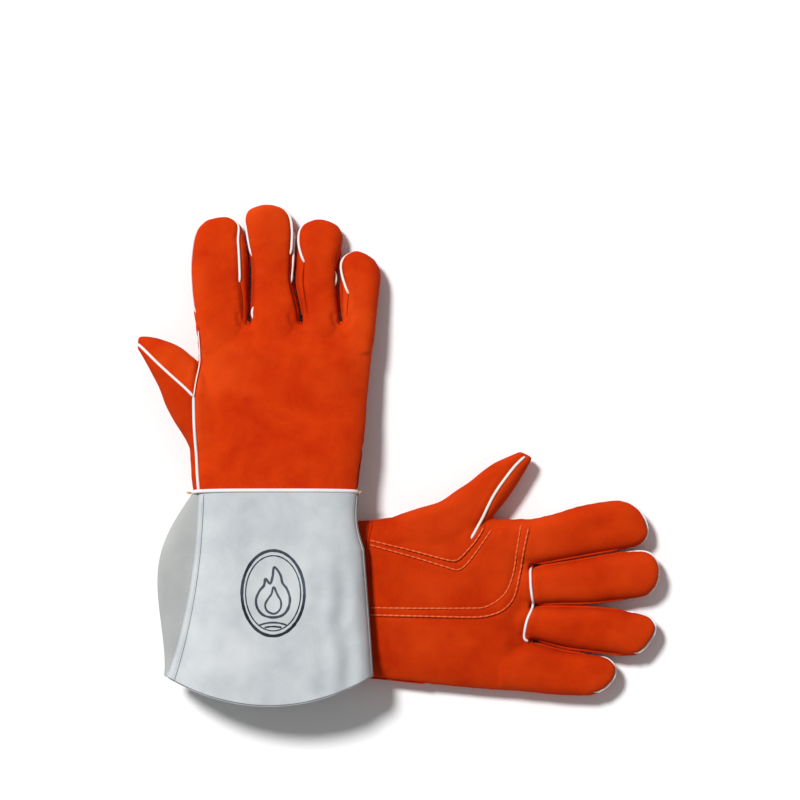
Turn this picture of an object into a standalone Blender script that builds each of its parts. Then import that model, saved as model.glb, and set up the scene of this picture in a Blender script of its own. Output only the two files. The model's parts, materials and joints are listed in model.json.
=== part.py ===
# A pair of gauntlet welding gloves. The left one lies palm up, and the right one lies back up with its
# cuff on the left cuff and its fingertips on the ground.
# Both are laid out as one right hand: u runs from the wrist seam to the fingertips, t runs across towards
# the thumb, and w runs from the seam plane towards the back of the hand. Metres, +Z up.

from math import cos, pi, radians, sin, sqrt
from types import SimpleNamespace

import bmesh
import bpy
import numpy as np
from mathutils import Vector

for old in list(bpy.data.objects):
    bpy.data.objects.remove(old, do_unlink=True)

mm = 0.001

# Materials' thicknesses and the clearances between pieces
leather = 2.0 * mm
cuff_leather = 1.6 * mm
lining_cloth = 1.2 * mm
patch_leather = 1.4 * mm
welt_thick = 1.6 * mm
welt_proud = 1.2 * mm
clear = 0.3 * mm
patch_clear = 0.5 * mm
stack_clear = 0.7 * mm
# Room for one finger's welt to pass its neighbour's as it curls
finger_clear = 0.6 * mm

# Rounding of the cross-sections and of the tips
hand_corner = 22 * mm
digit_corner = 13 * mm
tip_round = 19 * mm
corner_steps = 4
hem_steps = 6
# The most of a section's width that one rounded corner takes
corner_share = 0.45
# The share of a tip's height that is left at its very end
tip_left = 0.4
tip_angles = (radians(30), radians(55), radians(76))

half_gap = welt_thick / 2 + clear
thumb_bulge = 12 * mm
cuff_bend = 40 * mm
# The swell at the thumb rises over this share of the shorter of the stretches before and after it
ramp_share = 0.4

# The thumb's end: how far its height falls, and how much of a wall its small flat end gives up
thumb_fall = 0.8
thumb_fall_bend = 3
end_narrowing = 0.6
end_thinning = 0.4

# The cuff's outline: the bends of its two edges, the stretch that the wrist draws in, and its side panel
low_edge_bend = 0.8
high_edge_bend = 1.8
pinch_share = 0.3
least_bulge = 1 * mm
bulge_lead = 0.6
bulge_fullness = 0.7

orange = (0.64, 0.045, 0.006, 1)
palm_orange = (0.50, 0.034, 0.005, 1)
pale = (0.62, 0.67, 0.70, 1)
grey = (0.42, 0.43, 0.45, 1)
white = (0.85, 0.82, 0.80, 1)
fleece = (0.78, 0.74, 0.66, 1)

right = SimpleNamespace(
    name="right",
    palm_up=False,
    wrist_x=-85.6 * mm,
    wrist_y=-27.1 * mm,
    wrist_half=56 * mm,
    knuckle_low=-70 * mm,
    knuckle_high=57.5 * mm,
    wrist_to_thumb=30 * mm,
    thumb_root=67 * mm,
    thumb_to_knuckle=23 * mm,
    wrist_back=11.5 * mm,
    wrist_palm=10 * mm,
    hand_back=13 * mm,
    hand_palm=12 * mm,
    digit_height=11 * mm,
    digit_tip_height=9 * mm,
    thumb_plane=61 * mm,
    thumb_reach=39 * mm,
    thumb_low_shift=74 * mm,
    thumb_high_shift=13 * mm,
    thumb_low_bend=1.15,
    thumb_high_bend=2.0,
    cuff_length=150.7 * mm,
    hem_sweep=20 * mm,
    cuff_pinch=3 * mm,
    hem_low=-66.5 * mm,
    hem_high=78 * mm,
    cuff_side=22 * mm,
    hem_back=16 * mm,
    hem_palm=10 * mm,
    # Across the knuckles, the widths of the four fingers' roots as parts of their sum
    finger_shares=dict(index=0.28, middle=0.286, ring=0.248, little=0.186),
    # Each finger's length, the place of its tip across the hand, and its width there
    fingers=dict(
        index=(75.3 * mm, 43.6 * mm, 33.6 * mm),
        middle=(83.6 * mm, 7.2 * mm, 35.0 * mm),
        ring=(73.2 * mm, -28.6 * mm, 32.4 * mm),
        little=(50.3 * mm, -58.6 * mm, 25.6 * mm),
    ),
)

left = SimpleNamespace(
    name="left",
    palm_up=True,
    wrist_x=-35.5 * mm,
    wrist_y=-104.2 * mm,
    wrist_half=55.5 * mm,
    knuckle_low=-66 * mm,
    knuckle_high=57.5 * mm,
    wrist_to_thumb=37.5 * mm,
    thumb_root=68 * mm,
    thumb_to_knuckle=23 * mm,
    wrist_back=10.6 * mm,
    wrist_palm=9.5 * mm,
    hand_back=12 * mm,
    hand_palm=12 * mm,
    digit_height=11.5 * mm,
    digit_tip_height=9.5 * mm,
    thumb_plane=61.5 * mm,
    thumb_reach=45 * mm,
    thumb_low_shift=86 * mm,
    thumb_high_shift=25 * mm,
    thumb_low_bend=0.8,
    thumb_high_bend=1.5,
    cuff_length=131 * mm,
    hem_sweep=20 * mm,
    cuff_pinch=2 * mm,
    hem_low=-56.5 * mm,
    hem_high=56 * mm,
    cuff_side=5 * mm,
    hem_back=12 * mm,
    hem_palm=11 * mm,
    finger_shares=dict(index=0.274, middle=0.224, ring=0.193, little=0.309),
    fingers=dict(
        index=(83.5 * mm, 54.0 * mm, 32.0 * mm),
        middle=(91.9 * mm, 19.0 * mm, 34.5 * mm),
        ring=(89.3 * mm, -21.5 * mm, 31.0 * mm),
        little=(61.5 * mm, -52.5 * mm, 29.0 * mm),
    ),
)

# Places of the palm's overlays, on both gloves: u from the wrist seam, t across
strip_width = 11 * mm
patch_start = 14 * mm
patch_to_knuckle = 8 * mm
patch_edge = -11 * mm
patch_corner = 32 * mm
saddle_wrist = 39 * mm
saddle_waist = 21.5 * mm
saddle_waist_place = 0.6
saddle_seam = 1.2 * mm
base_welt_width = 2.2 * mm
overlay_margin = 7 * mm


def mix(first, second, part):
    return first + (second - first) * part


def palm_length(glove):
    return glove.wrist_to_thumb + glove.thumb_root + glove.thumb_to_knuckle


def side_ramp(glove):
    """The stretch of u over which the hand's side rises to the thumb's root."""
    return ramp_share * min(glove.wrist_to_thumb, glove.thumb_to_knuckle)


def tip_thinning(turn):
    """The share of a fingertip's height that is left where its rounding has turned this far."""
    return mix(tip_left, 1, cos(turn))


def settle_heights():
    """Lays the left glove's back on the ground, and the right glove on the left cuff and its fingertips."""
    left.wrist_z = left.hand_back
    left.lean = 0.0
    strip_top = left.wrist_palm + patch_clear + patch_leather
    stack = left.wrist_z + max(strip_top, left.hem_palm) + stack_clear + right.wrist_palm
    first_turn = tip_angles[0]
    longest = max(length for length, _, _ in right.fingers.values())
    touch_reach = palm_length(right) + longest - tip_round * (1 - sin(first_turn))
    touch_height = right.digit_tip_height * tip_thinning(first_turn)
    right.lean = (stack - touch_height) / (touch_reach + cuff_bend / 2)
    right.wrist_z = stack - right.lean * cuff_bend / 2


def place(glove, u, t, w):
    """World position of a point of the glove's own layout."""
    if glove.palm_up:
        return Vector((glove.wrist_x + u, glove.wrist_y + t, glove.wrist_z - w))
    if u >= 0:
        along = u * cos(glove.lean)
        rise = -u * sin(glove.lean)
        turn = glove.lean
    else:
        bent = min(-u, cuff_bend)
        along = u
        rise = glove.lean * (bent - bent**2 / (2 * cuff_bend))
        turn = glove.lean * (1 - bent / cuff_bend)
    across = glove.wrist_x - t
    return Vector((across, glove.wrist_y + along + w * sin(turn), glove.wrist_z + rise + w * cos(turn)))


def half_section(low, high, height, corner, start=half_gap, flat_steps=1):
    """Half a cross-section as (across, up) points, from the high seam over the flat top to the low seam."""
    radius = min(corner, corner_share * (high - low))
    turns = [pi / 2 * step / corner_steps for step in range(corner_steps + 1)]
    rises = [start + (height - start) * sin(turn) for turn in turns]
    near = [(high - radius * (1 - cos(turn)), rise) for turn, rise in zip(turns, rises)]
    far = [(low + radius * (1 - cos(turn)), rise) for turn, rise in zip(turns, rises)]
    flat = [(mix(high - radius, low + radius, step / flat_steps), height) for step in range(1, flat_steps)]
    return near + flat + far[::-1]


def bulged_section(low, high, height, corner, bulge, wall):
    """The same, with a side panel that swells out past the high seam; wall is 0 on the outer face."""
    fold = corner_share * min(height, max(bulge, 2 * least_bulge))
    lobe = []
    for turn in (pi / 2, pi / 3, pi / 6):
        sunk = wall + (fold - wall) * (1 - sin(turn)) if turn < pi / 2 else 0
        lobe.append((high + bulge * cos(turn), half_gap + sunk))
    edges = (low, high + bulge, height, corner)
    below = half_section(*edges, half_gap + fold, hem_steps)
    split = corner_steps + 1
    return lobe + below[:split] + half_section(*edges, half_gap, hem_steps)[split:]


def add_piece(name, points, faces, color, roughness, pivot=None):
    """Makes one closed body with its faces out, its own material and its origin on its joint's axis."""
    mesh = bpy.data.meshes.new(name)
    origin = pivot or Vector((0, 0, 0))
    mesh.from_pydata([Vector(point) - origin for point in points], [], faces)
    shape = bmesh.new()
    shape.from_mesh(mesh)
    bmesh.ops.recalc_face_normals(shape, faces=shape.faces)
    if shape.calc_volume(signed=True) < 0:
        bmesh.ops.reverse_faces(shape, faces=shape.faces)
    shape.to_mesh(mesh)
    shape.free()
    mesh.shade_smooth()
    mesh.set_sharp_from_angle(angle=radians(35))
    material = bpy.data.materials.new(name + "_material")
    material.use_nodes = True
    surface = material.node_tree.nodes["Principled BSDF"]
    surface.inputs["Base Color"].default_value = color
    surface.inputs["Roughness"].default_value = roughness
    surface.inputs["Metallic"].default_value = 0.0
    mesh.materials.append(material)
    piece = bpy.data.objects.new(name, mesh)
    piece.location = origin
    bpy.context.scene.collection.objects.link(piece)
    return piece


def add_shell(name, outer, inner, closed_end, color, roughness, pivot=None):
    """An open half-shell between two surfaces given as rows of points; closed_end caps its far end."""
    rows = len(outer)
    count = len(outer[0])
    points = [point for row in outer for point in row] + [point for row in inner for point in row]

    def at(surface, row, column):
        return (surface * rows + row) * count + column

    faces = []
    for row in range(rows - 1):
        for column in range(count - 1):
            for surface in (0, 1):
                faces.append(
                    (
                        at(surface, row, column),
                        at(surface, row, column + 1),
                        at(surface, row + 1, column + 1),
                        at(surface, row + 1, column),
                    )
                )
        for column in (0, count - 1):
            after = row + 1
            faces.append((at(0, row, column), at(0, after, column), at(1, after, column), at(1, row, column)))
    for row in (0,) if closed_end else (0, rows - 1):
        for column in range(count - 1):
            after = column + 1
            faces.append((at(0, row, column), at(0, row, after), at(1, row, after), at(1, row, column)))
    if closed_end:
        last = rows - 1
        faces.append([at(0, last, column) for column in range(count)])
        faces.append([at(1, last, column) for column in range(count)])
        faces.append((at(0, last, 0), at(0, last, count - 1), at(1, last, count - 1), at(1, last, 0)))
    return add_piece(name, points, faces, color, roughness, pivot)


def add_loft(name, rings, looped, color, roughness, pivot=None):
    """A body through rings of points; looped joins its last ring to its first, else both ends are capped."""
    count = len(rings[0])
    points = [point for ring in rings for point in ring]
    faces = []
    for index in range(len(rings) if looped else len(rings) - 1):
        here = index * count
        there = (index + 1) % len(rings) * count
        for side in range(count):
            after = (side + 1) % count
            faces.append((here + side, here + after, there + after, there + side))
    if not looped:
        faces.append(list(range(count)))
        faces.append(list(range(len(points) - count, len(points))))
    return add_piece(name, points, faces, color, roughness, pivot)


def add_cutter(name, glove, low, high):
    """A box in the glove's own layout that only cuts."""
    corners = [(u, t, w) for u in (low[0], high[0]) for t in (low[1], high[1]) for w in (low[2], high[2])]
    points = [place(glove, *corner) for corner in corners]
    faces = [(0, 1, 3, 2), (4, 5, 7, 6), (0, 1, 5, 4), (2, 3, 7, 6), (0, 2, 6, 4), (1, 3, 7, 5)]
    cutter = add_piece(name, points, faces, grey, 1.0)
    cutter.hide_render = True
    cutter.display_type = "WIRE"
    return cutter


def cut(piece, cutter):
    modifier = piece.modifiers.new("thumb_opening", "BOOLEAN")
    modifier.operation = "DIFFERENCE"
    modifier.solver = "EXACT"
    modifier.object = cutter


def hand_rows(glove, inset, side):
    """Rows (u, low, high, height) of the hand's surface, drawn in by inset; side is 1 on the back, else -1."""
    length = palm_length(glove)
    root_end = glove.wrist_to_thumb + glove.thumb_root
    ramp = side_ramp(glove)
    # The side swells at the thumb: it meets the thumb's plane at the two ends of the thumb's root
    meets = (glove.thumb_plane - glove.wrist_half) / thumb_bulge
    stations = (
        (half_gap, 0),
        (glove.wrist_to_thumb - ramp, 0),
        (glove.wrist_to_thumb, meets),
        (glove.wrist_to_thumb + ramp, 1),
        (root_end - ramp, 1),
        (root_end, meets),
        (root_end + ramp, 0),
        (length - clear / 2, 0),
    )
    wrist_height, hand_height = (
        (glove.wrist_back, glove.hand_back) if side > 0 else (glove.wrist_palm, glove.hand_palm)
    )
    rows = []
    for u, swell in stations:
        part = u / length
        low = mix(-glove.wrist_half, glove.knuckle_low, part)
        high = mix(glove.wrist_half, glove.knuckle_high, part) + thumb_bulge * swell
        height = mix(wrist_height, hand_height, min(1, u / glove.wrist_to_thumb))
        rows.append((u, low + inset, high - inset, height - inset))
    return rows


def cuff_edges(glove, s, side):
    """Low edge, high edge, height and bulge of the cuff at the share s of the way from the wrist to the hem."""
    pinch = glove.cuff_pinch * sin(pi * min(1, s / pinch_share))
    low = mix(-glove.wrist_half, glove.hem_low, s**low_edge_bend) + pinch
    high = mix(glove.wrist_half, glove.hem_high, s**high_edge_bend)
    bulge = least_bulge
    if s < 1:
        bulge += glove.cuff_side * sin(pi * s**bulge_lead) ** bulge_fullness
    if side > 0:
        return low, high, mix(glove.wrist_back, glove.hem_back, s), bulge
    return low, high, mix(glove.wrist_palm, glove.hem_palm, s), bulge


def cuff_point(glove, s, t, w):
    """A cuff point: the hem is swept, so each line along the cuff has its own length."""
    start = half_gap
    hem_half = (glove.hem_high - glove.hem_low) / 2
    middle = (glove.hem_high + glove.hem_low) / 2
    length = glove.cuff_length - glove.hem_sweep * ((t - middle) / hem_half) ** 2
    return place(glove, -mix(start, length, s), t, w)


def finger_roots(glove):
    """Each finger's low and high edge at the knuckles."""
    span = glove.knuckle_high - glove.knuckle_low
    roots = {}
    high = glove.knuckle_high
    for name, share in glove.finger_shares.items():
        roots[name] = (high - share * span, high)
        high -= share * span
    return roots


def finger_rows(glove, name, inset):
    """Rows (u, low, high, height) of a finger's surface, drawn in by inset."""
    length, tip_middle, tip_width = glove.fingers[name]
    root_low, root_high = finger_roots(glove)[name]
    margin = welt_proud + finger_clear
    root = palm_length(glove) + clear / 2
    shoulder = palm_length(glove) + length - tip_round
    half = tip_width / 2 - welt_proud - clear
    rows = []
    for part in (0, 0.35, 0.7, 1):
        low = mix(root_low + margin, tip_middle - half, part)
        high = mix(root_high - margin, tip_middle + half, part)
        height = mix(glove.digit_height, glove.digit_tip_height, part)
        rows.append((mix(root, shoulder, part), low + inset, high - inset, height - inset))
    for turn in tip_angles:
        reach = (tip_round - inset) * sin(turn)
        width = (half - inset) * cos(turn)
        height = (glove.digit_tip_height - inset) * tip_thinning(turn)
        rows.append((shoulder + reach, tip_middle - width, tip_middle + width, height))
    return rows


def thumb_rows(glove, inset):
    """Rows (t, low, high, height) of the thumb's surface, whose edges lean and close towards the tip."""
    root_end = glove.wrist_to_thumb + glove.thumb_root
    start = glove.thumb_plane + clear / 2
    rows = []
    for part in (0, 0.15, 0.32, 0.5, 0.68, 0.84, 1):
        low = glove.wrist_to_thumb + glove.thumb_low_shift * part**glove.thumb_low_bend
        high = root_end + glove.thumb_high_shift * (1 - (1 - part) ** glove.thumb_high_bend)
        height = glove.digit_height * sqrt(1 - thumb_fall * part**thumb_fall_bend)
        reach = (glove.thumb_reach - inset) * part
        # The tip narrows to a small flat end, whose wall is taken off the length alone
        narrow = inset * (1 - end_narrowing * part)
        thin = inset * (1 - end_thinning * part)
        rows.append((start + reach, low + narrow, high - narrow, height - thin))
    return rows


def on_finger(glove, along, across, w):
    return place(glove, along, across, w)


def on_thumb(glove, along, across, w):
    return place(glove, across, along, w)


def digit_surface(glove, rows, side, position):
    surface = []
    for along, low, high, height in rows:
        section = half_section(low, high, height, digit_corner)
        surface.append([position(glove, along, across, side * w) for across, w in section])
    return surface


def edge_strip(glove, outer, inner, position):
    """Rings of a flat welt in the seam plane, between an outer and an inner line of (along, across) points."""
    half = welt_thick / 2
    rings = []
    for (out_along, out_across), (in_along, in_across) in zip(outer, inner):
        rings.append(
            [
                position(glove, out_along, out_across, half),
                position(glove, out_along, out_across, -half),
                position(glove, in_along, in_across, -half),
                position(glove, in_along, in_across, half),
            ]
        )
    return rings


def add_digit(glove, name, rows_at, position, pivot):
    """A finger or a thumb: a back and a front shell with a welt all round the seam between them."""
    outer_rows = rows_at(0)
    inner_rows = rows_at(leather)
    for half, side, color in (("back", 1, orange), ("front", -1, palm_orange)):
        outer = digit_surface(glove, outer_rows, side, position)
        inner = digit_surface(glove, inner_rows, side, position)
        add_shell(f"{glove.name}_{name}_{half}", outer, inner, True, color, 0.8, pivot)
    proud_rows = rows_at(-welt_proud)
    outer_line = [(row[0], row[2]) for row in proud_rows] + [(row[0], row[1]) for row in proud_rows[::-1]]
    inner_line = [(row[0], row[2]) for row in inner_rows] + [(row[0], row[1]) for row in inner_rows[::-1]]
    rings = edge_strip(glove, outer_line, inner_line, position)
    add_loft(f"{glove.name}_{name}_welt", rings, False, white, 0.6, pivot)


def add_fingers(glove):
    root = palm_length(glove)
    for name in glove.fingers:
        low, high = finger_roots(glove)[name]
        pivot = place(glove, root, (low + high) / 2, -glove.hand_palm)
        add_digit(glove, name, lambda inset, name=name: finger_rows(glove, name, inset), on_finger, pivot)


def add_thumb(glove):
    middle = glove.wrist_to_thumb + glove.thumb_root / 2
    pivot = place(glove, middle, glove.thumb_plane, -glove.digit_height)
    add_digit(glove, "thumb", lambda inset: thumb_rows(glove, inset), on_thumb, pivot)


def add_hand(glove):
    """The hand's back and palm shells and its lining, all open to the wrist, the fingers and the thumb."""
    length = palm_length(glove)
    half_height = 4 * glove.hand_back
    cutter = add_cutter(
        f"{glove.name}_thumb_cutter",
        glove,
        (half_gap, glove.thumb_plane - clear / 2, -half_height),
        (length, glove.thumb_plane + 4 * thumb_bulge, half_height),
    )
    for half, side, color in (("back", 1, orange), ("palm", -1, palm_orange)):
        surfaces = []
        for inset in (0, leather):
            rows = []
            for u, low, high, height in hand_rows(glove, inset, side):
                section = half_section(low, high, height, hand_corner)
                rows.append([place(glove, u, t, side * w) for t, w in section])
            surfaces.append(rows)
        shell = add_shell(f"{glove.name}_hand_{half}", *surfaces, False, color, 0.8)
        cut(shell, cutter)
    lining = []
    for inset in (leather + clear, leather + clear + lining_cloth):
        rows = []
        backs = hand_rows(glove, inset, 1)
        palms = hand_rows(glove, inset, -1)
        for (u, low, high, back), (_, _, _, palm) in zip(backs, palms):
            over = [place(glove, u, t, w) for t, w in half_section(low, high, back, hand_corner, 0)]
            under = [place(glove, u, t, -w) for t, w in half_section(low, high, palm, hand_corner, 0)]
            rows.append(over + under[-2:0:-1])
        lining.append(rows)
    outer, inner = lining
    rings = []
    for column in range(len(outer[0])):
        rings.append([row[column] for row in outer] + [row[column] for row in inner[::-1]])
    tube = add_loft(f"{glove.name}_hand_lining", rings, True, fleece, 1.0)
    cut(tube, cutter)


def side_line(glove, inset, column, start, end):
    """The hand's low or high edge from one u to another."""
    rows = hand_rows(glove, inset, 1)
    us = [row[0] for row in rows]
    edges = [row[column] for row in rows]
    stops = [start] + [u for u in us if start < u < end] + [end]
    return [(u, float(np.interp(u, us, edges))) for u in stops]


def add_side_welts(glove):
    """The welts in the hand's two side seams; the thumb's own welt takes over where its root is."""
    length = palm_length(glove)
    root_end = glove.wrist_to_thumb + glove.thumb_root
    meets = (glove.thumb_plane - glove.wrist_half) / thumb_bulge
    ramp = side_ramp(glove)
    back_off = ramp * (welt_proud + 2 * clear) / (thumb_bulge * meets)
    first = half_gap
    last = length - clear / 2
    runs = (
        ("little_side_welt", 1, first, last),
        ("thumb_side_welt", 2, first, glove.wrist_to_thumb - back_off),
        ("crotch_welt", 2, root_end + back_off, last),
    )
    for name, column, start, end in runs:
        outer = side_line(glove, -welt_proud, column, start, end)
        inner = side_line(glove, leather, column, start, end)
        rings = edge_strip(glove, outer, inner, on_finger)
        add_loft(f"{glove.name}_{name}", rings, False, white, 0.6)


def add_wrist_welt(glove):
    """The welt all round the seam between the hand and the cuff."""
    half = welt_thick / 2
    loops = []
    for inset in (-welt_proud, leather):
        low = -glove.wrist_half + inset
        high = glove.wrist_half - inset
        over = half_section(low, high, glove.wrist_back - inset, hand_corner, 0)
        under = half_section(low, high, glove.wrist_palm - inset, hand_corner, 0)
        loops.append(over + [(t, -w) for t, w in under[-2:0:-1]])
    rings = []
    for (out_t, out_w), (in_t, in_w) in zip(*loops):
        rings.append(
            [
                place(glove, half, out_t, out_w),
                place(glove, -half, out_t, out_w),
                place(glove, -half, in_t, in_w),
                place(glove, half, in_t, in_w),
            ]
        )
    add_loft(f"{glove.name}_wrist_welt", rings, True, white, 0.6)


def add_cuff(glove):
    """The cuff's back and palm panels, and the welts in its two side seams."""
    shares = (0, 0.12, 0.3, 0.5, 0.75, 1)
    for half, side, color in (("back", 1, pale), ("palm", -1, grey)):
        surfaces = []
        for wall in (0, cuff_leather):
            rows = []
            for s in shares:
                low, high, height, bulge = cuff_edges(glove, s, side)
                edges = (low + wall, high - wall, height - wall, hand_corner)
                if side > 0:
                    section = half_section(*edges, half_gap, hem_steps)
                else:
                    section = bulged_section(*edges, bulge, wall)
                rows.append([cuff_point(glove, s, t, side * w) for t, w in section])
            surfaces.append(rows)
        add_shell(f"{glove.name}_cuff_{half}", *surfaces, False, color, 0.75)
    half = welt_thick / 2
    for name, column, outward in (("cuff_little_welt", 0, -1), ("cuff_thumb_welt", 1, 1)):
        rings = []
        for s in shares:
            edge = cuff_edges(glove, s, 1)[column]
            outer = edge + outward * welt_proud
            inner = edge - outward * cuff_leather
            corners = ((outer, half), (outer, -half), (inner, -half), (inner, half))
            rings.append([cuff_point(glove, s, t, w) for t, w in corners])
        add_loft(f"{glove.name}_{name}", rings, False, white, 0.6)


def add_overlay(name, glove, outline, color):
    """A thin piece that lies on the palm, inside an outline of (u, t) points."""
    surfaces = []
    for inset in (-patch_clear - patch_leather, -patch_clear):
        rows = []
        for u, low, high, height in hand_rows(glove, inset, -1):
            section = half_section(low, high, height, hand_corner)
            rows.append([place(glove, u, t, -w) for t, w in section])
        surfaces.append(rows)
    overlay = add_shell(name, *surfaces, False, color, 0.8)
    rings = [[place(glove, u, t, w) for u, t in outline] for w in (-half_gap, -4 * glove.hand_palm)]
    punch = add_loft(name + "_cutter", rings, False, grey, 1.0)
    punch.hide_render = True
    punch.display_type = "WIRE"
    modifier = overlay.modifiers.new("outline", "BOOLEAN")
    modifier.operation = "INTERSECT"
    modifier.solver = "EXACT"
    modifier.object = punch


def box_outline(start, end, low, high):
    return [(start, low), (end, low), (end, high), (start, high)]


def add_overlays(glove):
    """The wrist strip, the palm patch, the thumb's saddle patch and the welt at the base of two fingers."""
    length = palm_length(glove)
    side = glove.wrist_half - overlay_margin
    strip = box_outline(half_gap + clear, strip_width, -side, side)
    add_overlay(f"{glove.name}_wrist_strip", glove, strip, palm_orange)

    root_end = glove.wrist_to_thumb + glove.thumb_root
    waist = glove.wrist_to_thumb + saddle_waist_place * glove.thumb_root
    patch_end = length - patch_to_knuckle
    seam = saddle_seam / 2
    palm_patch = [(patch_start, patch_edge)]
    for turn in (0, 18, 36, 54, 72, 90):
        u = patch_end - patch_corner * (1 - sin(radians(turn)))
        palm_patch.append((u, patch_edge + patch_corner * (1 - cos(radians(turn)))))
    palm_patch += [(patch_end, side), (root_end, side), (waist, saddle_waist - seam)]
    palm_patch.append((patch_start, saddle_wrist - seam))
    add_overlay(f"{glove.name}_palm_patch", glove, palm_patch, palm_orange)

    ramp = side_ramp(glove)
    crotch = glove.thumb_plane - overlay_margin / 2
    thumb_patch = [(patch_start, saddle_wrist + seam), (waist, saddle_waist + seam)]
    thumb_patch += [(root_end - ramp, side - seam), (root_end - ramp, crotch)]
    thumb_patch += [(glove.wrist_to_thumb + ramp, crotch), (glove.wrist_to_thumb, side)]
    thumb_patch.append((patch_start, side))
    add_overlay(f"{glove.name}_thumb_patch", glove, thumb_patch, palm_orange)

    roots = finger_roots(glove)
    end = length - clear
    base = box_outline(end - base_welt_width, end, roots["ring"][0], roots["middle"][1])
    add_overlay(f"{glove.name}_finger_base_welt", glove, base, white)


def centre_on_ground():
    """Moves everything so that the middle of the underside of the whole box is the origin."""
    bpy.context.view_layer.update()
    corners = []
    for piece in bpy.context.scene.objects:
        if not piece.hide_render:
            corners += [piece.matrix_world @ vertex.co for vertex in piece.data.vertices]
    low = Vector([min(corner[axis] for corner in corners) for axis in range(3)])
    high = Vector([max(corner[axis] for corner in corners) for axis in range(3)])
    shift = Vector(((low.x + high.x) / 2, (low.y + high.y) / 2, low.z))
    for piece in bpy.context.scene.objects:
        piece.location -= shift


settle_heights()
for glove in (left, right):
    add_hand(glove)
    add_side_welts(glove)
    add_wrist_welt(glove)
    add_cuff(glove)
    add_overlays(glove)
    add_fingers(glove)
    add_thumb(glove)
centre_on_ground()
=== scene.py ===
# A pair of gauntlet welding gloves: orange split leather hands, pale cuffs, white piping.
# Each glove is laid out flat as one right hand, in mm: u from the wrist seam to the fingertips,
# t across towards the thumb, w up from the side seams towards the back of the hand.
import json
import random
from math import atan2, cos, pi, radians, sin

import bmesh
import bpy
import numpy as np
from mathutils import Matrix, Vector, noise
from mathutils.bvhtree import BVHTree
from mathutils.kdtree import KDTree


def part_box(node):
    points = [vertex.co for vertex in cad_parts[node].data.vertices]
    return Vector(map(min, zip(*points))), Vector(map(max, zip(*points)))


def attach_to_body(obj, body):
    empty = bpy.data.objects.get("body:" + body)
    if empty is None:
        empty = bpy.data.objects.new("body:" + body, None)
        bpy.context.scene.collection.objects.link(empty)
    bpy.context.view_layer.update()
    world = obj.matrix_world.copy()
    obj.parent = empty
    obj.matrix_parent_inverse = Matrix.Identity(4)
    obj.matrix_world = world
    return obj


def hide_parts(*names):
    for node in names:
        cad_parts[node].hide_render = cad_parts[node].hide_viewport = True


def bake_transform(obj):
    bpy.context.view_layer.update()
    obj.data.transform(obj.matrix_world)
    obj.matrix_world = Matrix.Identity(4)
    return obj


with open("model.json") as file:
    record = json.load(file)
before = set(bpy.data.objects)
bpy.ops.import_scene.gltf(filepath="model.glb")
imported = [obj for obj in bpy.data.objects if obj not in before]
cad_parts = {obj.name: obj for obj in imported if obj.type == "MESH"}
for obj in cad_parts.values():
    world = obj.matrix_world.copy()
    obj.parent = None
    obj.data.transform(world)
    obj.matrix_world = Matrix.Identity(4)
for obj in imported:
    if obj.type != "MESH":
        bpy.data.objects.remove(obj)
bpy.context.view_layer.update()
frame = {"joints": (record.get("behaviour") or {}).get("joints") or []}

bpy.ops.object.select_all(action="DESELECT")
random.seed(11)
mm = 0.001

# the two gloves
# hand rows are (u, low t, high t); finger rows run from inside the hand to the tip
rightGlove = {
    "side": "right",
    "palmUp": False,
    "wristHalf": 56.0,
    "wristBack": 11.5,
    "wristPalm": 10.0,
    "handBack": 12.6,
    "handPalm": 12.0,
    "fingerHigh": 10.8,
    "tipHigh": 9.2,
    "hand": [
        (-3, -55.8, 58.5), (6, -56.8, 60.4), (17, -58.0, 61.6), (45, -61.9, 63), (66, -63.6, 60.5),
        (80, -64.9, 57), (92, -66.0, 56), (106, -67.9, 56.8), (118, -69.4, 57.8),
    ],
    "fingers": {
        "index": [
            (98, 25, 54), (112, 23.0, 57.4), (130, 21.8, 60.1), (145, 21.3, 61.8), (160, 21.6, 62.4),
            (173, 22.6, 61.4), (183, 24.6, 59.6), (190, 27.4, 56), (194.3, 31.8, 50.4), (196.3, 38, 43),
        ],
        "middle": [
            (98, -11, 18), (112, -13.4, 19.6), (126, -14.6, 18.8), (149, -10.0, 17.9), (163, -10.6, 18.2),
            (176, -11.2, 20.8), (186, -11.5, 22.6), (194.5, -9.4, 23.6), (200, -6.3, 21.6),
            (203.4, -1.2, 16), (204.8, 4, 10),
        ],
        "ring": [
            (98, -40, -19), (112, -43.0, -17), (126, -42.8, -18.2), (149, -41.2, -13.6), (163, -42.2, -13.6),
            (175, -44.8, -13.9), (183, -45.5, -14.4), (188, -43.6, -15.6), (191.5, -40, -18.8),
            (193.9, -34.5, -24), (194.6, -31, -27.5),
        ],
        "little": [
            (98, -66.5, -49), (112, -69, -46.6), (130, -70.6, -45.8), (144, -72, -45.0), (154, -72.8, -44.2),
            (161, -71.2, -44.2), (166.5, -67.2, -46), (170, -62, -50.2), (171.6, -58.5, -54),
        ],
    },
    # thumb rows are (u, t) of the wrist-side edge, (u, t) of the finger-side edge, half height
    "thumb": [
        ((14, 44), (74, 40), 10.8), ((24, 58), (84, 50), 10.8), ((39.3, 66.4), (94, 58.5), 10.6),
        ((52, 74.2), (101, 66), 10.2), ((62, 79.4), (105, 73), 9.8), ((74, 84.1), (108, 81.5), 9.0),
        ((86.3, 90.6), (109.9, 88.6), 7.6), ((96, 96), (110.8, 94.2), 6.0),
        ((103, 99.6), (110.2, 98.6), 4.0),
    ],
    "thumbCut": (0.09, 62.4),
    "thumbEnd": (97.0, 58.8),
    "palmLength": 120.0,
    "webEnd": 121.5,
    "bases": (21.8, -14.8, -45.4),
    "cuff": {
        "length": 150.7, "sweep": 20.0, "pinch": 3.0, "low": -66.5, "high": 78.0,
        "side": 21.4, "start": 1.5, "back": 16.0, "palm": 10.0,
    },
}
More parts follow.
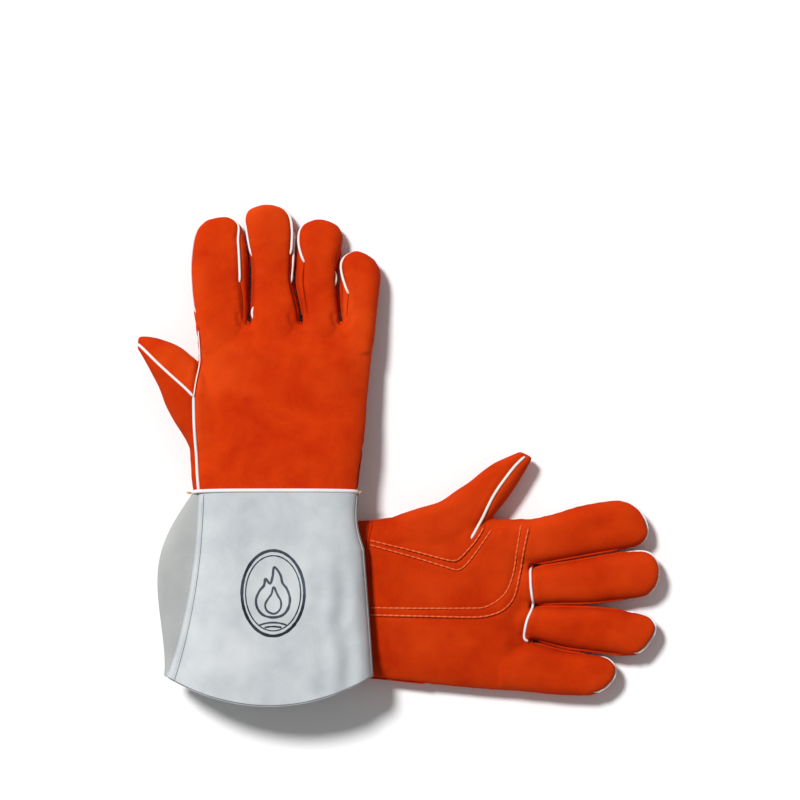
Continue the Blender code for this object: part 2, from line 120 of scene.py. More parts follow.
leftGlove = {
    "side": "left",
    "palmUp": True,
    "wristHalf": 55.5,
    "wristBack": 10.6,
    "wristPalm": 9.5,
    "handBack": 12.0,
    "handPalm": 12.2,
    "fingerHigh": 11.2,
    "tipHigh": 9.4,
    "hand": [
        (-3, -55.2, 55.4), (8, -55.5, 55.7), (16, -55.7, 56.2), (38, -58, 60), (60, -60.6, 62),
        (85, -62.8, 60), (100, -64.0, 57.8), (116, -65.2, 57.2), (128, -66, 57.5),
    ],
    "fingers": {
        "index": [
            (108, 27, 55), (122, 24.6, 57.2), (132, 25.4, 57.6), (148, 28.2, 61.2), (165, 31.2, 66.4),
            (182, 34.2, 69.8), (194, 36, 70.3), (203.5, 37.6, 66.4), (209.5, 40.8, 60), (212.6, 46, 52),
        ],
        "middle": [
            (108, -1, 20), (122, -2.8, 21.8), (132, -2.8, 22.6), (150, -2.4, 25.4), (172, -2.0, 29.2),
            (193, 0.4, 32.8), (205, 1.4, 34.2), (212, 3.4, 33.8), (217, 8.2, 30.8), (220, 14.5, 25),
        ],
        "ring": [
            (108, -26, -7), (122, -27, -5.6), (132, -27.8, -5.4), (142, -30.6, -5.4), (156, -34.4, -5.4),
            (172, -36.2, -5.8), (187, -38, -7.2), (200, -39.8, -8.8), (208, -37.2, -10.1),
            (214.5, -29.5, -12.6), (218.2, -23, -17.5),
        ],
        "little": [
            (108, -63, -32), (122, -65.4, -29.8), (132, -66.4, -30.6), (145, -67.4, -34.6),
            (158, -68, -37.6), (170, -68.2, -39), (179, -65.4, -40.4), (185.5, -60.4, -43),
            (189.6, -54.6, -47),
        ],
    },
    "thumb": [
        ((14, 44), (84, 38), 11.2), ((30, 58), (94, 50), 11.2), ((48, 64.4), (101, 57), 11.0),
        ((64, 69), (106.5, 63.5), 10.6), ((75, 76.5), (111.5, 69.5), 10.2), ((87, 84.6), (117, 77.5), 9.6),
        ((101, 95.6), (122.5, 86), 8.4), ((114, 101.6), (128, 95.5), 6.6), ((122, 105), (130.5, 101), 4.6),
    ],
    "thumbCut": (0.0, 59.6),
    "thumbEnd": (112.0, 62.0),
    "palmLength": 128.5,
    "webEnd": 131.0,
    "bases": (24.0, -4.0, -28.4),
    "cuff": {
        "length": 131.0, "sweep": 20.0, "pinch": 2.0, "low": -56.5, "high": 56.0,
        "side": 5.0, "start": 0.0, "back": 12.0, "palm": 11.0,
    },
}
leather = {
    "voxel": 1.05,  # mm
    "wall": 1.1,
    "smoothing": 9,
    "edge": 3.4,  # higher is boxier across
    "crown": 2.2,  # higher is flatter on top
    "sag": 0.75,
    "wrinkle": 0.28,
}
cuffBend = 40.0
ringSteps = 44


def anchorGlove(glove):
    # the wrist seam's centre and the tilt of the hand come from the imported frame
    low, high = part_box(glove["side"] + "_wrist_welt")
    centre = (low + high) / 2
    axis = next(j for j in frame["joints"] if j["name"] == glove["side"] + "_thumb_fold")["axis"]
    glove["lean"] = 0.0 if glove["palmUp"] else atan2(axis[2], -axis[1])
    offset = (glove["wristBack"] - glove["wristPalm"]) / 2 * mm
    if glove["palmUp"]:
        glove["origin"] = centre + Vector((0, 0, offset))
    else:
        glove["origin"] = centre - Vector((0, sin(glove["lean"]), cos(glove["lean"]))) * offset


def toWorld(glove, points, lowest=0.25):
    u, t, w = np.asarray(points, float).reshape(-1, 3).T
    ox, oy, oz = glove["origin"]
    if glove["palmUp"]:
        world = np.column_stack([ox + u * mm, oy + t * mm, oz - w * mm])
    else:
        lean = glove["lean"]
        bent = np.clip(-u, 0, cuffBend)
        turn = np.where(u >= 0, lean, lean * (1 - bent / cuffBend))
        rise = np.where(u >= 0, -u * sin(lean), lean * (bent - bent**2 / (2 * cuffBend)))
        along = np.where(u >= 0, u * cos(lean), u)
        world = np.column_stack(
            [ox - t * mm, oy + (along + w * np.sin(turn)) * mm, oz + (rise + w * np.cos(turn)) * mm]
        )
    world[:, 2] = np.maximum(world[:, 2], lowest * mm)  # lies on the ground, never in it
    return world


def turnWorld(glove, normals):
    u, t, w = np.asarray(normals, float).T
    if glove["palmUp"]:
        return np.column_stack([u, t, -w])
    lean = glove["lean"]
    return np.column_stack([-t, u * cos(lean) + w * sin(lean), -u * sin(lean) + w * cos(lean)])


def smoothstep(low, high, x):
    part = np.clip((x - low) / (high - low), 0, 1)
    return part * part * (3 - 2 * part)


def crown(x):
    # height of the pillow section at a share x of its half width
    return (1 - np.minimum(1, np.abs(x)) ** leather["edge"]) ** (1 / leather["crown"])


def spline(a, b, c, d, s):
    # a Catmull-Rom curve from b to c
    cubic = (3 * b - a - 3 * c + d) * s**3
    return 0.5 * (2 * b + (c - a) * s + (2 * a - 5 * b + 4 * c - d) * s**2 + cubic)


def smoothRows(rows, steps=5):
    # rows eased by a curve, so that an outline has no corners
    rows = np.array(rows, float)
    padded = np.vstack([2 * rows[0] - rows[1], rows, 2 * rows[-1] - rows[-2]])
    eased = []
    for index in range(1, len(padded) - 2):
        eased += [spline(*padded[index - 1 : index + 3], step / steps) for step in range(steps)]
    eased.append(rows[-1])
    return np.array(eased)


def sectionRing(low, high, back, palm):
    # low and high are points of the two edges; the section stands between them
    low = np.array(low, float)
    high = np.array(high, float)
    ring = []
    for step in range(ringSteps):
        turn = 2 * pi * step / ringSteps
        x = np.sign(cos(turn)) * abs(cos(turn)) ** 0.8
        height = (back if sin(turn) > 0 else -palm) * crown(x)
        ring.append([*((low + high) / 2 + (high - low) / 2 * x), height])
    return np.array(ring)


def loft(shape, rings):
    verts = [[shape.verts.new(point) for point in ring] for ring in rings]
    for first, second in zip(verts, verts[1:]):
        for step in range(ringSteps):
            after = (step + 1) % ringSteps
            shape.faces.new((first[step], second[step], second[after], first[after]))
    shape.faces.new(verts[0])
    shape.faces.new(verts[-1][::-1])


def fingerRings(glove, rows):
    rows = smoothRows(rows)
    widest = (rows[:, 2] - rows[:, 1]).max()
    start, end = rows[0, 0], rows[-1, 0]
    rings = []
    for u, low, high in rows:
        high = max(high, low + 1)
        round_ = 0.3 + 0.7 * min(1, (high - low) / widest) ** 0.5
        taper = (glove["tipHigh"] - glove["fingerHigh"]) * (u - start) / (end - start)
        height = (glove["fingerHigh"] + taper) * round_
        rings.append(sectionRing((u, low), (u, high), height, height))
    return rings


def handRings(glove):
    rings = []
    last = glove["hand"][-1][0]
    for u, low, high in smoothRows(glove["hand"]):
        part = min(1, max(0, u / 30))
        back = glove["wristBack"] + (glove["handBack"] - glove["wristBack"]) * part
        palm = glove["wristPalm"] + (glove["handPalm"] - glove["wristPalm"]) * part
        sink = 1 - 0.4 * float(smoothstep(last - 22, last, u))  # valleys between the knuckles
        rings.append(sectionRing((u, low), (u, high), back * sink, palm * sink))
    return rings


def thumbRings(glove):
    rows = np.array([[*low, *high, height] for low, high, height in glove["thumb"]])
    return [sectionRing(row[:2], row[2:4], row[4], row[4]) for row in smoothRows(rows)]


def buildSkin(glove):
    # the whole hand in one skin: hand, fingers and thumb lofted, then made one by a voxel remesh
    shape = bmesh.new()
    loft(shape, handRings(glove))
    for rows in glove["fingers"].values():
        loft(shape, fingerRings(glove, rows))
    loft(shape, thumbRings(glove))
    bmesh.ops.recalc_face_normals(shape, faces=shape.faces)
    mesh = bpy.data.meshes.new(glove["side"] + "Skin")
    shape.to_mesh(mesh)
    shape.free()
    body = bpy.data.objects.new(glove["side"] + "Skin", mesh)
    bpy.context.scene.collection.objects.link(body)
    bpy.context.view_layer.objects.active = body
    remesh = body.modifiers.new("remesh", "REMESH")
    remesh.mode = "VOXEL"
    remesh.voxel_size = leather["voxel"]
    bpy.ops.object.modifier_apply(modifier=remesh.name)
    smooth = body.modifiers.new("smooth", "SMOOTH")
    smooth.factor = 0.5
    smooth.iterations = leather["smoothing"]
    bpy.ops.object.modifier_apply(modifier=smooth.name)
    return body


def readMesh(mesh):
    points = np.empty(len(mesh.vertices) * 3)
    mesh.vertices.foreach_get("co", points)
    normals = np.empty(len(mesh.vertices) * 3)
    mesh.vertices.foreach_get("normal", normals)
    return points.reshape(-1, 3), normals.reshape(-1, 3)


def treeOf(mesh):
    points, _ = readMesh(mesh)
    return BVHTree.FromPolygons(points.tolist(), [tuple(p.vertices) for p in mesh.polygons])


# seams
reach = 60.0  # how far a seam is looked for on the skin, mm


def cast(tree, start, direction, limit=reach):
    hit, normal, _, _ = tree.ray_cast(Vector(start), Vector(direction).normalized(), limit)
    return None if hit is None else (np.array(hit), np.array(normal))


def castTop(tree, u, t, side):
    # the skin straight above (side 1, the back) or below (side -1, the palm) a place on the hand
    return cast(tree, (u, t, reach * side), (0, 0, -side), 2 * reach)


def topLine(tree, corners, side, step=1.6):
    # a line over the back or the palm through (u, t) corners
    line = smoothRows(corners, 6)
    found = []
    for first, second in zip(line, line[1:]):
        count = max(1, int(np.linalg.norm(second - first) / step))
        for index in range(count):
            place = first + (second - first) * index / count
            found.append(castTop(tree, place[0], place[1], side))
    found.append(castTop(tree, line[-1][0], line[-1][1], side))
    return [hit for hit in found if hit is not None]


def fingerFrame(glove, name, u):
    rows = np.array(glove["fingers"][name])
    low = np.interp(u, rows[:, 0], rows[:, 1])
    high = np.interp(u, rows[:, 0], rows[:, 2])
    return (low + high) / 2, (high - low) / 2


def sideLine(tree, glove, name, side, start, end, startTilt, endTilt, step=1.6):
    # a line along one side of a finger; the tilt is the angle down from the back, 90 at the side
    count = max(2, int(abs(end - start) / step))
    found = []
    for index in range(count + 1):
        part = index / count
        u = start + (end - start) * part
        tilt = radians(startTilt + (endTilt - startTilt) * part)
        middle, _ = fingerFrame(glove, name, u)
        found.append(cast(tree, (u, middle, 0), (0, side * sin(tilt), cos(tilt))))
    return [hit for hit in found if hit is not None]


def tipLine(tree, glove, name, tilts, count=26):
    # round the fingertip from its low side to its high side
    rows = glove["fingers"][name]
    u = rows[-1][0] - 15
    middle, _ = fingerFrame(glove, name, u)
    found = []
    for index in range(count + 1):
        part = index / count
        turn = radians(-90 + 180 * part)
        tilt = radians(np.interp(part, (0, 0.5, 1), tilts))
        direction = (cos(turn) * sin(tilt), sin(turn) * sin(tilt), cos(tilt))
        found.append(cast(tree, (u, middle, 0), direction))
    return [hit for hit in found if hit is not None]


# each finger's piping: where it ends on each side (share of the finger from its base), its tilt
# there and its tilt beside the tip; the tilts round the tip; and the short ticks lower down, each
# with its side, start, end and two tilts
piping = {
    "index": {"low": (0.38, 61, 61), "high": (0.10, 80, 86), "tip": (61, 104, 86), "ticks": []},
    "middle": {"low": (0.58, 68, 72), "high": (0.56, 83, 83), "tip": (72, 104, 83),
               "ticks": [(-1, 0.78, 0.34, 84, 80), (1, 0.14, 0.04, 82, 80)]},
    "ring": {"low": (0.86, 96, 106), "high": (0.58, 50, 80), "tip": (107, 105, 80),
             "ticks": [(-1, 0.50, 0.36, 84, 82)]},
    "little": {"low": (0.80, 98, 106), "high": (0.40, 46, 70), "tip": (107, 105, 70), "ticks": []},
}
pipe = {"radius": 0.95, "sink": 0.12, "ease": 8}  # ease: passes of smoothing along the cord


def fingerPiping(tree, glove, name):
    plan = piping[name]
    tip = glove["fingers"][name][-1][0]
    base = glove["palmLength"]
    shoulder = tip - 15

    def at(share):
        return base + (tip - base) * share

    lowEnd, lowTilt, lowTip = plan["low"]
    highEnd, highTilt, highTip = plan["high"]
    line = []
    if at(lowEnd) < shoulder:
        line += sideLine(tree, glove, name, -1, at(lowEnd), shoulder - 1, lowTilt, lowTip)
    line += tipLine(tree, glove, name, plan["tip"])
    if at(highEnd) < shoulder:
        line += sideLine(tree, glove, name, 1, shoulder - 1, at(highEnd), highTip, highTilt)
    lines = [line]
    for side, start, end, startTilt, endTilt in plan["ticks"]:
        lines.append(sideLine(tree, glove, name, side, at(start), at(end), startTilt, endTilt))
    return lines


def flankSeams(tree, glove, name):
    # the second seam of the strip between two fingers, low on the side of each
    rows = glove["fingers"][name]
    sides = {"index": (-1,), "middle": (-1, 1), "ring": (-1, 1), "little": (1,)}[name]
    start, end = glove["webEnd"] + 0.5, rows[-1][0] - 19
    return [sideLine(tree, glove, name, side, start, end, 98, 98) for side in sides]


gusset = {"ahead": 1.4, "high": 2.6, "radius": 2.4}


def crotchPlugs(glove):
    # the small gussets that close the hand between two fingers
    verts, faces = [], []
    end = glove["hand"][-1][0] + gusset["ahead"]
    for base in glove["bases"]:
        line = [(end, base, w) for w in np.linspace(-gusset["high"], gusset["high"], 9)]
        tubeInto(verts, faces, line, gusset["radius"], 12)
    return verts, faces


def openSeams(tree, glove, name):
    # the sewn seam goes on from the end of the piping to the crotch, as a thin dark line: partly the seam's
    # own dark joint, partly painted shade in its groove
    plan = piping[name]
    tip = glove["fingers"][name][-1][0]
    base = glove["palmLength"]
    lines = []
    for side, key in ((-1, "low"), (1, "high")):
        end, tilt, _ = plan[key]
        if tilt < 80:
            start = base + (tip - base) * end
            lines.append(sideLine(tree, glove, name, side, start, base + 3, tilt, tilt + 8))
    return lines


backSeams = {  # the thumb side of the hand, seen on the back: (u, t) on the right glove
    "hand": [(-0.5, 55.3), (12, 56.4), (27.3, 57.2), (42, 58.4), (52.9, 58.9), (66.6, 59.2)],
    "thumb": [(66.8, 59.6), (73, 65.6), (82, 75.6), (91, 85.2), (100, 94.0), (106.2, 100.2)],
    "crotch": [(67, 59.0), (74, 58.2), (80, 57.2), (92, 55.3), (104, 55.6), (114, 56.4)],
}
backSeamsLeft = {
    "hand": [(-0.5, 52.5), (14, 53.4), (30, 56.0), (46, 58.0), (60, 59.2), (74, 59.6)],
    "thumb": [(76, 59.8), (84, 68), (94, 77.5), (104, 87), (114, 95.5), (126, 104)],
    "crotch": [(78, 59.4), (86, 57.6), (96, 56.2), (108, 55.6), (120, 55.8)],
}
palmSeams = {  # on the left glove's palm, where they all show
    "thumb": [(129.6, 105.2), (121, 98), (114, 89.9), (103.2, 74.6), (94.0, 56), (87.1, 43.7)],
    "base": [(132.5, 24.0), (129.4, 21.4), (129.2, 16), (129.4, 9.9), (130.4, 2), (131.6, -3.6),
             (129.6, -8), (127.1, -13.2), (125.4, -20), (124.8, -27.1), (127.4, -29.4)],
    "strip": [(16.6, 54.5), (14.6, 46), (13.0, 36), (12.0, 25), (11.4, 14.5), (11.0, 0), (11.0, -20),
              (11.0, -40), (10.6, -52)],
}
palmSeamsRight = {
    "thumb": [(106.4, 99.6), (98, 90), (90, 78), (84, 66), (80, 55), (76, 43)],
    "base": [(123.6, 21.8), (120.4, 19), (120.4, 10), (120.6, 0), (122.4, -14.6), (119.4, -20),
             (117.4, -32), (117.6, -43), (120, -45.6)],
    "strip": [(16, 56), (13, 40), (11.5, 20), (11, 0), (11, -20), (11, -40), (10.6, -53)],
}
# the seams of two fingers meet in a loop round the crotch: (u from the palm's end, t from the crotch)
crotchLoop = [(4.5, 6.2), (0.5, 5.4), (-2.6, 3.0), (-3.6, 0), (-2.6, -3.0), (0.5, -5.4), (4.5, -6.2)]
sewing = {  # rows of stitches on the palm, on the left glove
    "patchInner": [(15.6, -5.3), (50, -5.7), (86.3, -5.6), (96, -5.0), (103.5, -1.6), (109.4, 3.2),
                   (112.9, 8.2), (115.2, 14.0), (117.1, 21.0), (119.6, 36), (122.5, 54.0)],
    "patchOuter": [(15.6, -10.4), (50, -11.2), (84, -11.9), (96, -11.4), (106.3, -8.6), (112.6, -4.2),
                   (116.6, 1.2), (119.4, 8.5), (121.8, 20.7), (124.8, 38.0), (128.4, 54.0)],
    "saddleA": [(15.5, 42.2), (45, 35.2), (66, 29.6), (74.6, 28.0), (79.0, 29.8), (83.3, 34.0),
                (88, 39.2), (92.5, 45.3), (97, 53)],
    "saddleB": [(15.5, 39.1), (45, 31.0), (68, 24.0), (76.6, 21.6), (81.4, 23.4), (86.3, 28.6),
                (93, 37.6), (101.7, 49.9)],
}


def fitPalm(glove, corners):
    # places on the left glove's palm, moved along to suit the length of this one
    shift = glove["palmLength"] - leftGlove["palmLength"]
    return [(u + shift * u / leftGlove["palmLength"], t) for u, t in corners]


def gatherLines(glove, tree):
    # every sewn line of a glove, as lists of (point, normal) on its skin
    right = not glove["palmUp"]
    back = backSeams if right else backSeamsLeft
    palm = palmSeamsRight if right else palmSeams
    hand = {}
    lines = {"piping": {}, "open": {}, "flank": {}, "hand": hand, "loops": []}
    for name in glove["fingers"]:
        lines["piping"][name] = fingerPiping(tree, glove, name)
        lines["open"][name] = openSeams(tree, glove, name)
        lines["flank"][name] = flankSeams(tree, glove, name)
    for base in glove["bases"]:
        loop = [(glove["palmLength"] + u, base + t) for u, t in crotchLoop]
        lines["loops"].append(topLine(tree, loop, 1))
    low = [cast(tree, (u, 0, 0), (0, -1, -0.02)) for u in np.arange(2, glove["palmLength"] + 4, 2.0)]
    hand["little"] = [hit for hit in low if hit is not None]
    hand["thumbSide"] = topLine(tree, back["hand"], 1)
    hand["crotch"] = topLine(tree, back["crotch"], 1)
    hand["base"] = topLine(tree, palm["base"], -1)
    hand["strip"] = topLine(tree, palm["strip"], -1)
    lines["thumb"] = [topLine(tree, back["thumb"], 1), topLine(tree, palm["thumb"], -1)]
    for name, corners in sewing.items():
        hand[name] = topLine(tree, fitPalm(glove, corners), -1, 1.2)
    return lines


drawnIn = {  # how far each seam draws the leather in, mm
    "finger": 0.95, "loops": 0.8, "little": 0.9, "thumbSide": 0.9, "base": 0.9, "crotch": 1.5,
    "strip": 0.5, "stitches": 0.35,
}


def settleSkin(body, lines):
    # soft unevenness, folds, and the leather drawn in along every sewn line
    mesh = body.data
    points, normals = readMesh(mesh)
    grooves = []
    for group in (lines["piping"], lines["open"]):
        for runs in group.values():
            grooves += [(run, drawnIn["finger"]) for run in runs]
    grooves += [(run, drawnIn["finger"]) for run in lines["thumb"]]
    grooves += [(run, drawnIn["loops"]) for run in lines["loops"]]
    for name in ("little", "thumbSide", "base", "crotch", "strip"):
        grooves.append((lines["hand"][name], drawnIn[name]))
    grooves += [(lines["hand"][name], drawnIn["stitches"]) for name in sewing]
    marks = [(hit[0], depth, index) for run, depth in grooves for index, hit in enumerate(run)]
    near = KDTree(len(marks))
    for index, (place, _, _) in enumerate(marks):
        near.insert(Vector(place), index)
    near.balance()
    moves = np.zeros(len(points))
    for index, point in enumerate(points):
        place = Vector(point)
        broad = noise.noise(place / 34)
        fold = noise.noise(Vector((place.x / 26, place.y / 9, place.z / 14 + 5)))
        small = noise.noise(place / 7.5 + Vector((9, 2, 4)))
        shift = leather["sag"] * broad + leather["wrinkle"] * fold + 0.10 * small
        _, found, distance = near.find(place)
        if distance < 9:
            depth = marks[found][1]
            shift -= depth * np.exp(-((distance / 1.7) ** 2))
            swell = np.exp(-(((distance - 4.0) / 2.2) ** 2))
            pucker = sin(marks[found][2] * 1.35) * 0.12
            shift += depth * swell * (0.30 + pucker)
        moves[index] = shift
    points = points + normals * moves[:, None]
    mesh.vertices.foreach_set("co", points.ravel())
    mesh.update()


wristEdge = 0.9  # mm past the middle of the wrist welt
thumbSide = 45.0  # nothing that belongs to the thumb lies below this t
webReach = 12.0  # how far past the webs the gap between two fingers is a straight line


def cutSkin(glove, body):
    # cuts the skin along its seams into the leather panels, and notes each panel's body
    shape = bmesh.new()
    shape.from_mesh(body.data)
    keep = shape.verts.layers.float_vector.new("skinNormal")
    for vert in shape.verts:
        vert[keep] = vert.normal

    def bisect(faces, place, direction, clear=False):
        chosen = set(faces)
        geometry = list(chosen)
        geometry += list({edge for face in chosen for edge in face.edges})
        geometry += list({vert for face in chosen for vert in face.verts})
        bmesh.ops.bisect_plane(
            shape, geom=geometry, dist=1e-4, plane_co=place, plane_no=direction, clear_inner=clear
        )

    def facesWhere(test):
        return [face for face in shape.faces if test(*face.calc_center_median())]

    bisect(shape.faces, (wristEdge, 0, 0), (1, 0, 0), True)  # open at the wrist
    cutU = glove["palmLength"] - 4
    bisect(facesWhere(lambda u, t, w: u > 60), (cutU, 0, 0), (1, 0, 0))
    for base in glove["bases"]:
        near = facesWhere(lambda u, t, w: cutU < u < glove["webEnd"] + webReach and abs(t - base) < 14)
        bisect(near, (cutU, base, 0), (0, 1, 0))
    slope, height = glove["thumbCut"]
    bisect(facesWhere(lambda u, t, w: u < cutU and t > thumbSide), (0, height, 0), (slope, 1, 0))
    bisect(facesWhere(lambda u, t, w: t > thumbSide), (glove["thumbEnd"][0], 0, 0), (1, 0, 0))
    bisect(shape.faces, (0, 0, 0), (0, 0, 1))
    # the back panel ends at the piping on the thumb side, so that edge is cut as a warped plane
    back = backSeams if not glove["palmUp"] else backSeamsLeft
    edge = smoothRows(back["hand"] + back["thumb"])

    def seamAt(u):
        if u > edge[-1][0]:
            return 1e3
        return float(np.interp(u, edge[:, 0], edge[:, 1]))

    upper = facesWhere(lambda u, t, w: w > 0 and t > thumbSide and u < edge[-1][0] + 3)
    touched = {vert for face in upper for vert in face.verts}
    placed = {vert: vert.co.y for vert in touched}
    for vert in touched:
        vert.co.y -= min(seamAt(vert.co.x), 200)
    before = set(shape.verts)
    bisect(upper, (0, 0, 0), (0, 1, 0))
    for vert in shape.verts:
        if vert in placed:
            vert.co.y = placed[vert]
        elif vert not in before:
            vert.co.y += min(seamAt(vert.co.x), 200)

    groups = {}
    thumbEnd, thumbEdge = glove["thumbEnd"]
    for face in shape.faces:
        u, t, w = face.calc_center_median()
        if u > cutU and t < seamLimit(glove, u):
            part = fingerAt(glove, u, t)
        elif slope * u + t > height and (u < thumbEnd or t > thumbEdge):
            part = "thumb"
        else:
            part = "hand"
        onBack = w > 0 and t < seamAt(u)
        groups.setdefault((part, onBack), []).append(face)
    panels = {}
    for key, faces in groups.items():
        verts = {}
        points, normals, polygons = [], [], []
        for face in faces:
            polygon = []
            for vert in face.verts:
                if vert not in verts:
                    verts[vert] = len(points)
                    points.append(tuple(vert.co))
                    normals.append(tuple(vert[keep].normalized()))
                polygon.append(verts[vert])
            polygons.append(polygon)
        panels[key] = (np.array(points), np.array(normals), polygons)
    shape.free()
    return panels


def seamLimit(glove, u):
    # past this t, a face beyond the knuckles belongs to the thumb and not to the index finger
    index = glove["fingers"]["index"]
    return float(np.interp(u, [row[0] for row in index], [row[2] for row in index])) + 5


def fingerAt(glove, u, t):
    # the finger whose middle line is nearest, with the crotch lines between neighbours
    if u < glove["webEnd"] + webReach:
        first, second, third = glove["bases"]
        if t > first:
            return "index"
        if t > second:
            return "middle"
        return "ring" if t > third else "little"
    best = None
    for name, rows in glove["fingers"].items():
        middle, half = fingerFrame(glove, name, min(u, rows[-1][0]))
        away = abs(t - middle) - half + max(0, u - rows[-1][0] - 1.5) * 4
        if best is None or away < best[0]:
            best = (away, name)
    return best[1]


# pieces
def shellPiece(name, glove, panel, wall, materials):
    # a leather panel with its wall inwards and its cut edges closed
    points, normals, polygons = panel
    count = len(points)
    inner = points - normals * wall
    outerWorld = toWorld(glove, points)
    innerWorld = toWorld(glove, inner, 0.25 + wall)
    outward = turnWorld(glove, normals)
    edges = {}
    for polygon in polygons:
        for a, b in zip(polygon, polygon[1:] + polygon[:1]):
            edges[(a, b)] = edges.get((a, b), 0) + 1
    rim = [(b, a, a + count, b + count) for a, b in edges if (b, a) not in edges]
    inside = [[index + count for index in polygon[::-1]] for polygon in polygons]
    faces = polygons + inside + [list(face) for face in rim]
    if glove["palmUp"]:
        faces = [face[::-1] for face in faces]
    mesh = bpy.data.meshes.new(name)
    mesh.from_pydata(np.vstack([outerWorld, innerWorld]).tolist(), [], faces)
    for material in materials:
        mesh.materials.append(material)
    outerCount = len(polygons)
    slots = np.zeros(len(faces), int)
    slots[outerCount:] = len(materials) - 1
    mesh.polygons.foreach_set("material_index", slots)
    mesh.shade_smooth()
    mesh.update()
    # shading normals from the uncut skin, so that panels meet without a crease
    corner = np.zeros((len(mesh.loops), 3))
    for polygon in mesh.polygons:
        for loop in polygon.loop_indices:
            vertex = mesh.loops[loop].vertex_index
            if polygon.index < outerCount:
                corner[loop] = outward[vertex]
            elif polygon.index < 2 * outerCount:
                corner[loop] = -outward[vertex - count]
            else:
                corner[loop] = polygon.normal
    mesh.normals_split_custom_set(corner.tolist())
    return linkPiece(name, mesh)


def linkPiece(name, mesh):
    piece = bpy.data.objects.new(name, mesh)
    bpy.context.scene.collection.objects.link(piece)
    return piece


def tubeInto(verts, faces, line, radius, sides, looped=False):
    # a round cord along a line of points, its ends drawn in and closed
    line = np.array(line, float)
    count = len(line)
    if count < 3:
        return
    ahead = np.gradient(line, axis=0)
    if looped:
        ahead = np.roll(line, -1, axis=0) - np.roll(line, 1, axis=0)
    ahead /= np.maximum(np.linalg.norm(ahead, axis=1), 1e-9)[:, None]
    start = len(verts)
    normal = np.cross(ahead[0], (0.3, 0.2, 1.0))
    for index in range(count):
        normal = normal - ahead[index] * (normal @ ahead[index])
        normal /= max(np.linalg.norm(normal), 1e-9)
        other = np.cross(ahead[index], normal)
        size = radius
        if not looped and index in (0, count - 1):
            size = radius * 0.55
        for side in range(sides):
            turn = 2 * pi * side / sides
            verts.append(line[index] + (normal * cos(turn) + other * sin(turn)) * size)
    last = count if looped else count - 1
    for index in range(last):
        here = start + index * sides
        there = start + (index + 1) % count * sides
        for side in range(sides):
            after = (side + 1) % sides
            faces.append([here + side, here + after, there + after, there + side])
    if not looped:
        faces.append([start + side for side in range(sides)][::-1])
        faces.append([start + (count - 1) * sides + side for side in range(sides)])


def lengthsOf(line):
    # how far along the line each of its points is
    return np.concatenate([[0], np.cumsum(np.linalg.norm(np.diff(line, axis=0), axis=1))])


def atLengths(line, lengths, places):
    return np.column_stack([np.interp(places, lengths, column) for column in line.T])


def easeLine(line, passes):
    line = np.array(line, float)
    for _ in range(passes):
        line[1:-1] = line[1:-1] * 0.5 + (line[:-2] + line[2:]) * 0.25
    return line


def cordPiece(name, glove, skin, runs, radius, material, sink=0.1, sides=8, passes=2, tuck=0):
    verts, faces = [], []
    for run in runs:
        if len(run) < 3:
            continue
        line = easeLine([place for place, _ in run], passes)
        nearest = [skin.find_nearest(Vector(place))[:2] for place in line]  # back onto the leather
        line = []
        for index, (place, normal) in enumerate(nearest):
            inside = min(index, len(nearest) - 1 - index)
            # the ends go in between the panels
            dip = radius * 1.2 * max(0, 1 - inside / tuck) if tuck else 0
            line.append(np.array(place) + np.array(normal) * (sink - dip))
        line = easeLine(line, 1)
        tubeInto(verts, faces, line, radius, sides)
    return meshPiece(name, glove, verts, faces, material)


def meshPiece(name, glove, verts, faces, material, smooth=True):
    mesh = bpy.data.meshes.new(name)
    mesh.from_pydata(toWorld(glove, verts).tolist(), [], faces)
    mesh.materials.append(material)
    shape = bmesh.new()
    shape.from_mesh(mesh)
    bmesh.ops.recalc_face_normals(shape, faces=shape.faces)
    shape.to_mesh(mesh)
    shape.free()
    if smooth:
        mesh.shade_smooth()
        mesh.set_sharp_from_angle(angle=radians(60))
    return linkPiece(name, mesh)


stitch = {
    "length": 4.2, "gap": 0.05, "radius": 0.6, "proud": 0.05, "arch": 0.45, "dip": 0.05,
    "rings": 5, "sides": 6,
}


def stitchRow(verts, faces, run, lift):
    # one stitch after another along a run, each dipping into the leather at its ends
    points = np.array([place for place, _ in run])
    normals = np.array([normal for _, normal in run])
    lengths = lengthsOf(points)
    parts = np.arange(stitch["rings"]) / (stitch["rings"] - 1)
    bow = stitch["arch"] * np.sin(pi * parts) - stitch["dip"]
    rises = stitch["proud"] + lift + stitch["radius"] * bow
    start = 0.0
    while start + stitch["length"] < lengths[-1]:
        along = start + stitch["length"] * parts
        places = atLengths(points, lengths, along)
        places += atLengths(normals, lengths, along) * rises[:, None]
        tubeInto(verts, faces, places, stitch["radius"], stitch["sides"])
        start += stitch["length"] + stitch["gap"]


